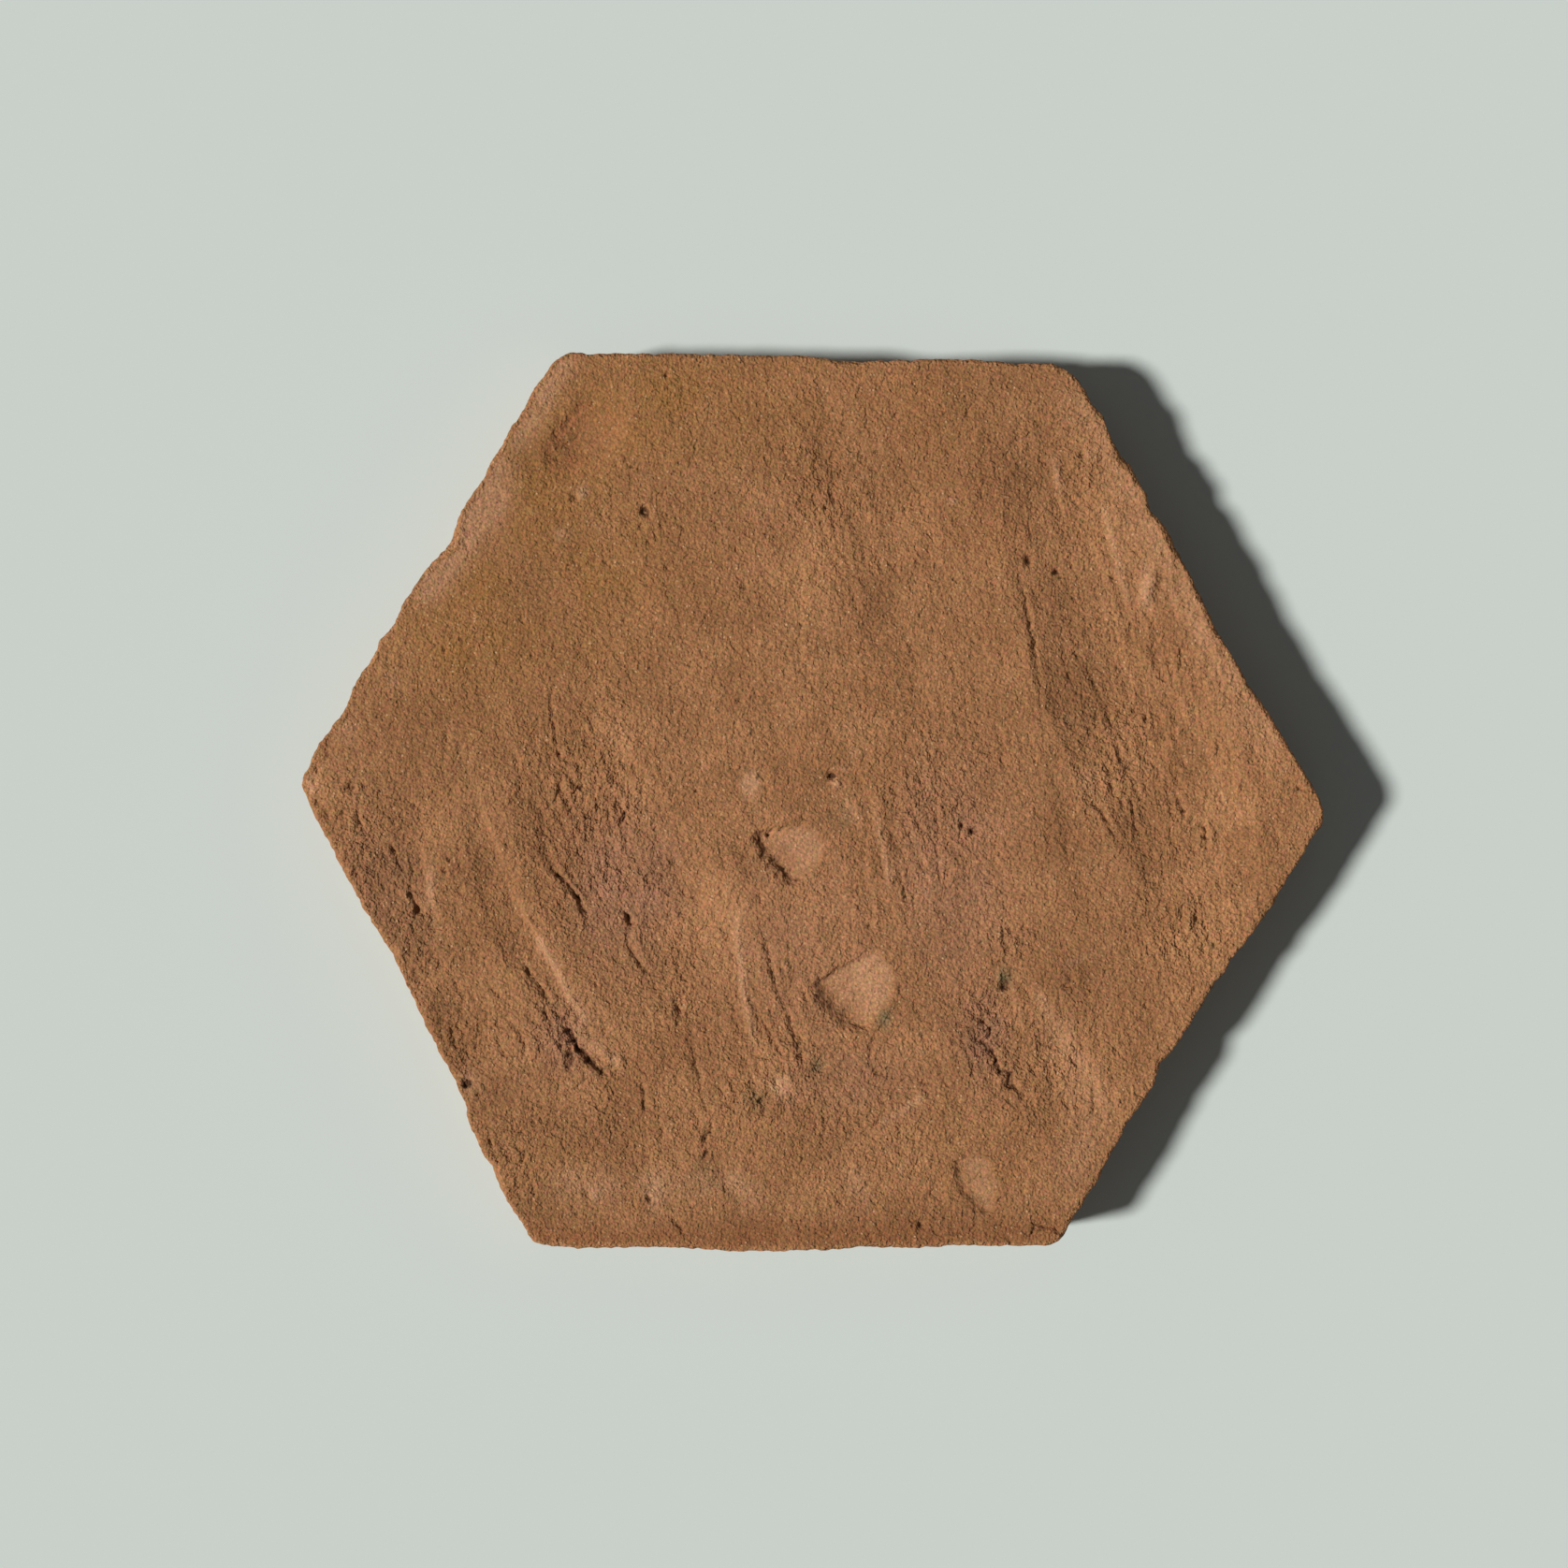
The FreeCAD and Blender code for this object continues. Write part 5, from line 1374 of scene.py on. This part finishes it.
def clay_colour(nodes, bright_grain, shaded_pit_grain):
    """The clay's colour: two tones blended by noise, then patches, tone with painted light and shade, sand,
    grains, and painted shade in the grains and hollows.
    """
    tone = nodes.spread(nodes.noise(TONE_GRAIN, 4), 0.38, 0.62)
    colour = nodes.mix(tone, linear(CLAY_DARK), linear(CLAY_LIGHT))
    for name, patch in (
        ("ochre", OCHRE),
        ("russet", RUSSET),
        ("plum", PLUM),
        # Dust, and painted light along the right rim.
        ("dust_and_painted_light", DUST_AND_LIGHT_COLOUR),
        ("moss", MOSS),
        # Pale clay, and painted highlight on lit ridges and steps.
        ("pale", PALE),
    ):
        colour = nodes.mix(nodes.mask(name), colour, linear(patch))
    # Tone with painted light and shade, multiplied into the colour.
    shade = nodes.spread(nodes.mask("tone"), -1.0, 1.0)
    colour = nodes.mix(1.0, colour, nodes.mix(shade, *TONE_AND_LIGHT_SHADES), "MULTIPLY")
    sand = nodes.spread(nodes.noise(SAND_GRAIN, 2), 0.3, 0.7)
    colour = nodes.mix(1.0, colour, nodes.mix(sand, *SAND_SHADES), "MULTIPLY")
    colour = nodes.mix(TINT_SHARE, colour, nodes.unevenness(SAND_GRAIN, 1)[1], "OVERLAY")
    colour = nodes.mix(nodes.times(bright_grain, BRIGHT_SHARE), colour, linear(SAND))
    # Painted shade in the sunk grains, and raggedly in the cuts, pits and scar banks.
    colour = nodes.mix(nodes.times(shaded_pit_grain, PIT_SHADE_SHARE), colour, linear(PAINTED_SHADE_COLOUR))
    torn = nodes.spread(nodes.plus(nodes.mask("painted_shade"), nodes.noise(TORN_GRAIN, 2)), 0.75, 1.15)
    return nodes.mix(nodes.times(torn, PAINTED_SHADE_SHARE), colour, linear(PAINTED_SHADE_COLOUR))


def clay_bump(nodes, bright_grain, shaded_pit_grain):
    """The clay's fine grain: coarse, fine and flaky noise, single grains and drawn lines, by roughness."""
    coarse = nodes.times(nodes.noise(COARSE_GRAIN, 1), COARSE_BUMP)
    fine = nodes.times(nodes.noise(FINE_GRAIN, 1), FINE_BUMP)
    flaky = nodes.times(nodes.spread(nodes.noise(FLAKY_GRAIN, 2.5), 0.46, 0.54), FLAKY_BUMP)
    bright, dark = nodes.times(bright_grain, BRIGHT_BUMP), nodes.times(shaded_pit_grain, DARK_BUMP)
    standing = nodes.reckon("SUBTRACT", bright, dark)
    lines = nodes.noise(DRAWN_GRAIN, 1, nodes.turned(DRAWN_TURN, DRAWN_STRETCH))
    drawn = nodes.times(nodes.times(lines, nodes.mask("drawn")), DRAWN_BUMP)
    grain = nodes.plus(nodes.plus(nodes.plus(coarse, fine), nodes.plus(flaky, standing)), drawn)
    bump = nodes.tree.nodes.new("ShaderNodeBump")
    bump.inputs["Strength"].default_value = 1.0
    bump.inputs["Distance"].default_value = BUMP_HEIGHT
    nodes.put(bump.inputs["Height"], nodes.times(grain, nodes.mask("rough")))
    return bump.outputs[0]


def fired_clay():
    """Sandy fired clay: masks on the mesh blend its tones and its painted light and shade, and fine noise
    gives its grain and its streaks.
    """
    material = bpy.data.materials.new("fired_clay")
    material.use_nodes = True
    nodes = Nodes(material.node_tree)
    shader = material.node_tree.nodes["Principled BSDF"]
    shader.inputs["Roughness"].default_value = CLAY_ROUGHNESS
    shader.inputs["Specular IOR Level"].default_value = CLAY_SHINE
    way, chance = nodes.grains(SAND_GRAIN)
    dome = nodes.spread(way, 0.5, 0.2)
    bright_grain = nodes.times(dome, nodes.spread(chance, 0.72, 0.95))
    # Grains sunk as pits, with painted shade in them.
    shaded_pit_grain = nodes.times(dome, nodes.spread(chance, 0.28, 0.08))
    nodes.put(shader.inputs["Base Color"], clay_colour(nodes, bright_grain, shaded_pit_grain))
    nodes.put(shader.inputs["Normal"], clay_bump(nodes, bright_grain, shaded_pit_grain))
    return material


# Half the floor's breadth, and how far it lies below the tile, in metres.
FLOOR_HALF = 4.0
FLOOR_DROP = 0.00005


def lay_floor():
    """A plain pale floor, wide enough to fill the camera's view."""
    mesh = bpy.data.meshes.new("floor")
    corners = [
        (x * FLOOR_HALF, y * FLOOR_HALF, -FLOOR_DROP) for x, y in ((-1, -1), (1, -1), (1, 1), (-1, 1))
    ]
    mesh.from_pydata(corners, [], [(0, 1, 2, 3)])
    floor = bpy.data.objects.new("floor", mesh)
    bpy.context.scene.collection.objects.link(floor)
    material = bpy.data.materials.new("pale_floor")
    material.use_nodes = True
    shader = material.node_tree.nodes["Principled BSDF"]
    shader.inputs["Base Color"].default_value = linear(FLOOR)
    shader.inputs["Roughness"].default_value = 1.0
    shader.inputs["Specular IOR Level"].default_value = 0.0
    mesh.materials.append(material)


# The camera looks straight down at the middle of the photograph, whose frame is this wide on the face.
CAMERA_PLACE = (-6.3, 4.1)
CAMERA_HEIGHT = 571.0
FRAME_WIDTH = 351.4
NEAREST_SEEN = 0.01
# The way to the key light, its breadth in degrees and how much light comes from all round.
KEY_FROM = (-0.715, -0.144, 0.684)
KEY_ANGLE = 8.0
FILL = 0.10


def light_and_camera():
    """One soft key from the left, an even fill, and the camera straight above.

    The key's strength is pi (1 - fill) / sin(its height), so that a level surface shows its own colour.
    """
    scene = bpy.context.scene
    key = bpy.data.lights.new("key", "SUN")
    key.angle = math.radians(KEY_ANGLE)
    key.energy = math.pi * (1 - FILL) / KEY_FROM[2]
    lamp = bpy.data.objects.new("key", key)
    lamp.rotation_euler = Vector(KEY_FROM).to_track_quat("Z", "Y").to_euler()
    scene.collection.objects.link(lamp)
    world = bpy.data.worlds.new("fill")
    world.use_nodes = True
    world.node_tree.nodes["Background"].inputs["Color"].default_value = (1, 1, 1, 1)
    world.node_tree.nodes["Background"].inputs["Strength"].default_value = FILL
    scene.world = world
    lens = bpy.data.cameras.new("camera")
    lens.lens = lens.sensor_width * (CAMERA_HEIGHT - THICKNESS) / FRAME_WIDTH
    lens.clip_start = NEAREST_SEEN
    camera = bpy.data.objects.new("camera", lens)
    camera.location = Vector((*CAMERA_PLACE, CAMERA_HEIGHT)) * METRES
    scene.collection.objects.link(camera)
    scene.camera = camera
    scene.view_settings.view_transform = "Standard"


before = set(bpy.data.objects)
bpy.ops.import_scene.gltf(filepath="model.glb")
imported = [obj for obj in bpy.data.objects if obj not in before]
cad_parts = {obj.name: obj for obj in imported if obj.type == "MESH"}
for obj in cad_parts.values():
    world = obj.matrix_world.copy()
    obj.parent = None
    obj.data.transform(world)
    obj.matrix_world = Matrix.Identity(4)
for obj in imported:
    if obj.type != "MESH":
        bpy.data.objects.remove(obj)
solid_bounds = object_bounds()
tile = make_tile()
thin_out(tile)
keep_inside(tile, solid_bounds)
tile.data.materials.clear()
tile.data.materials.append(fired_clay())
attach(tile, "root")
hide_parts(NODE)
lay_floor()
light_and_camera()
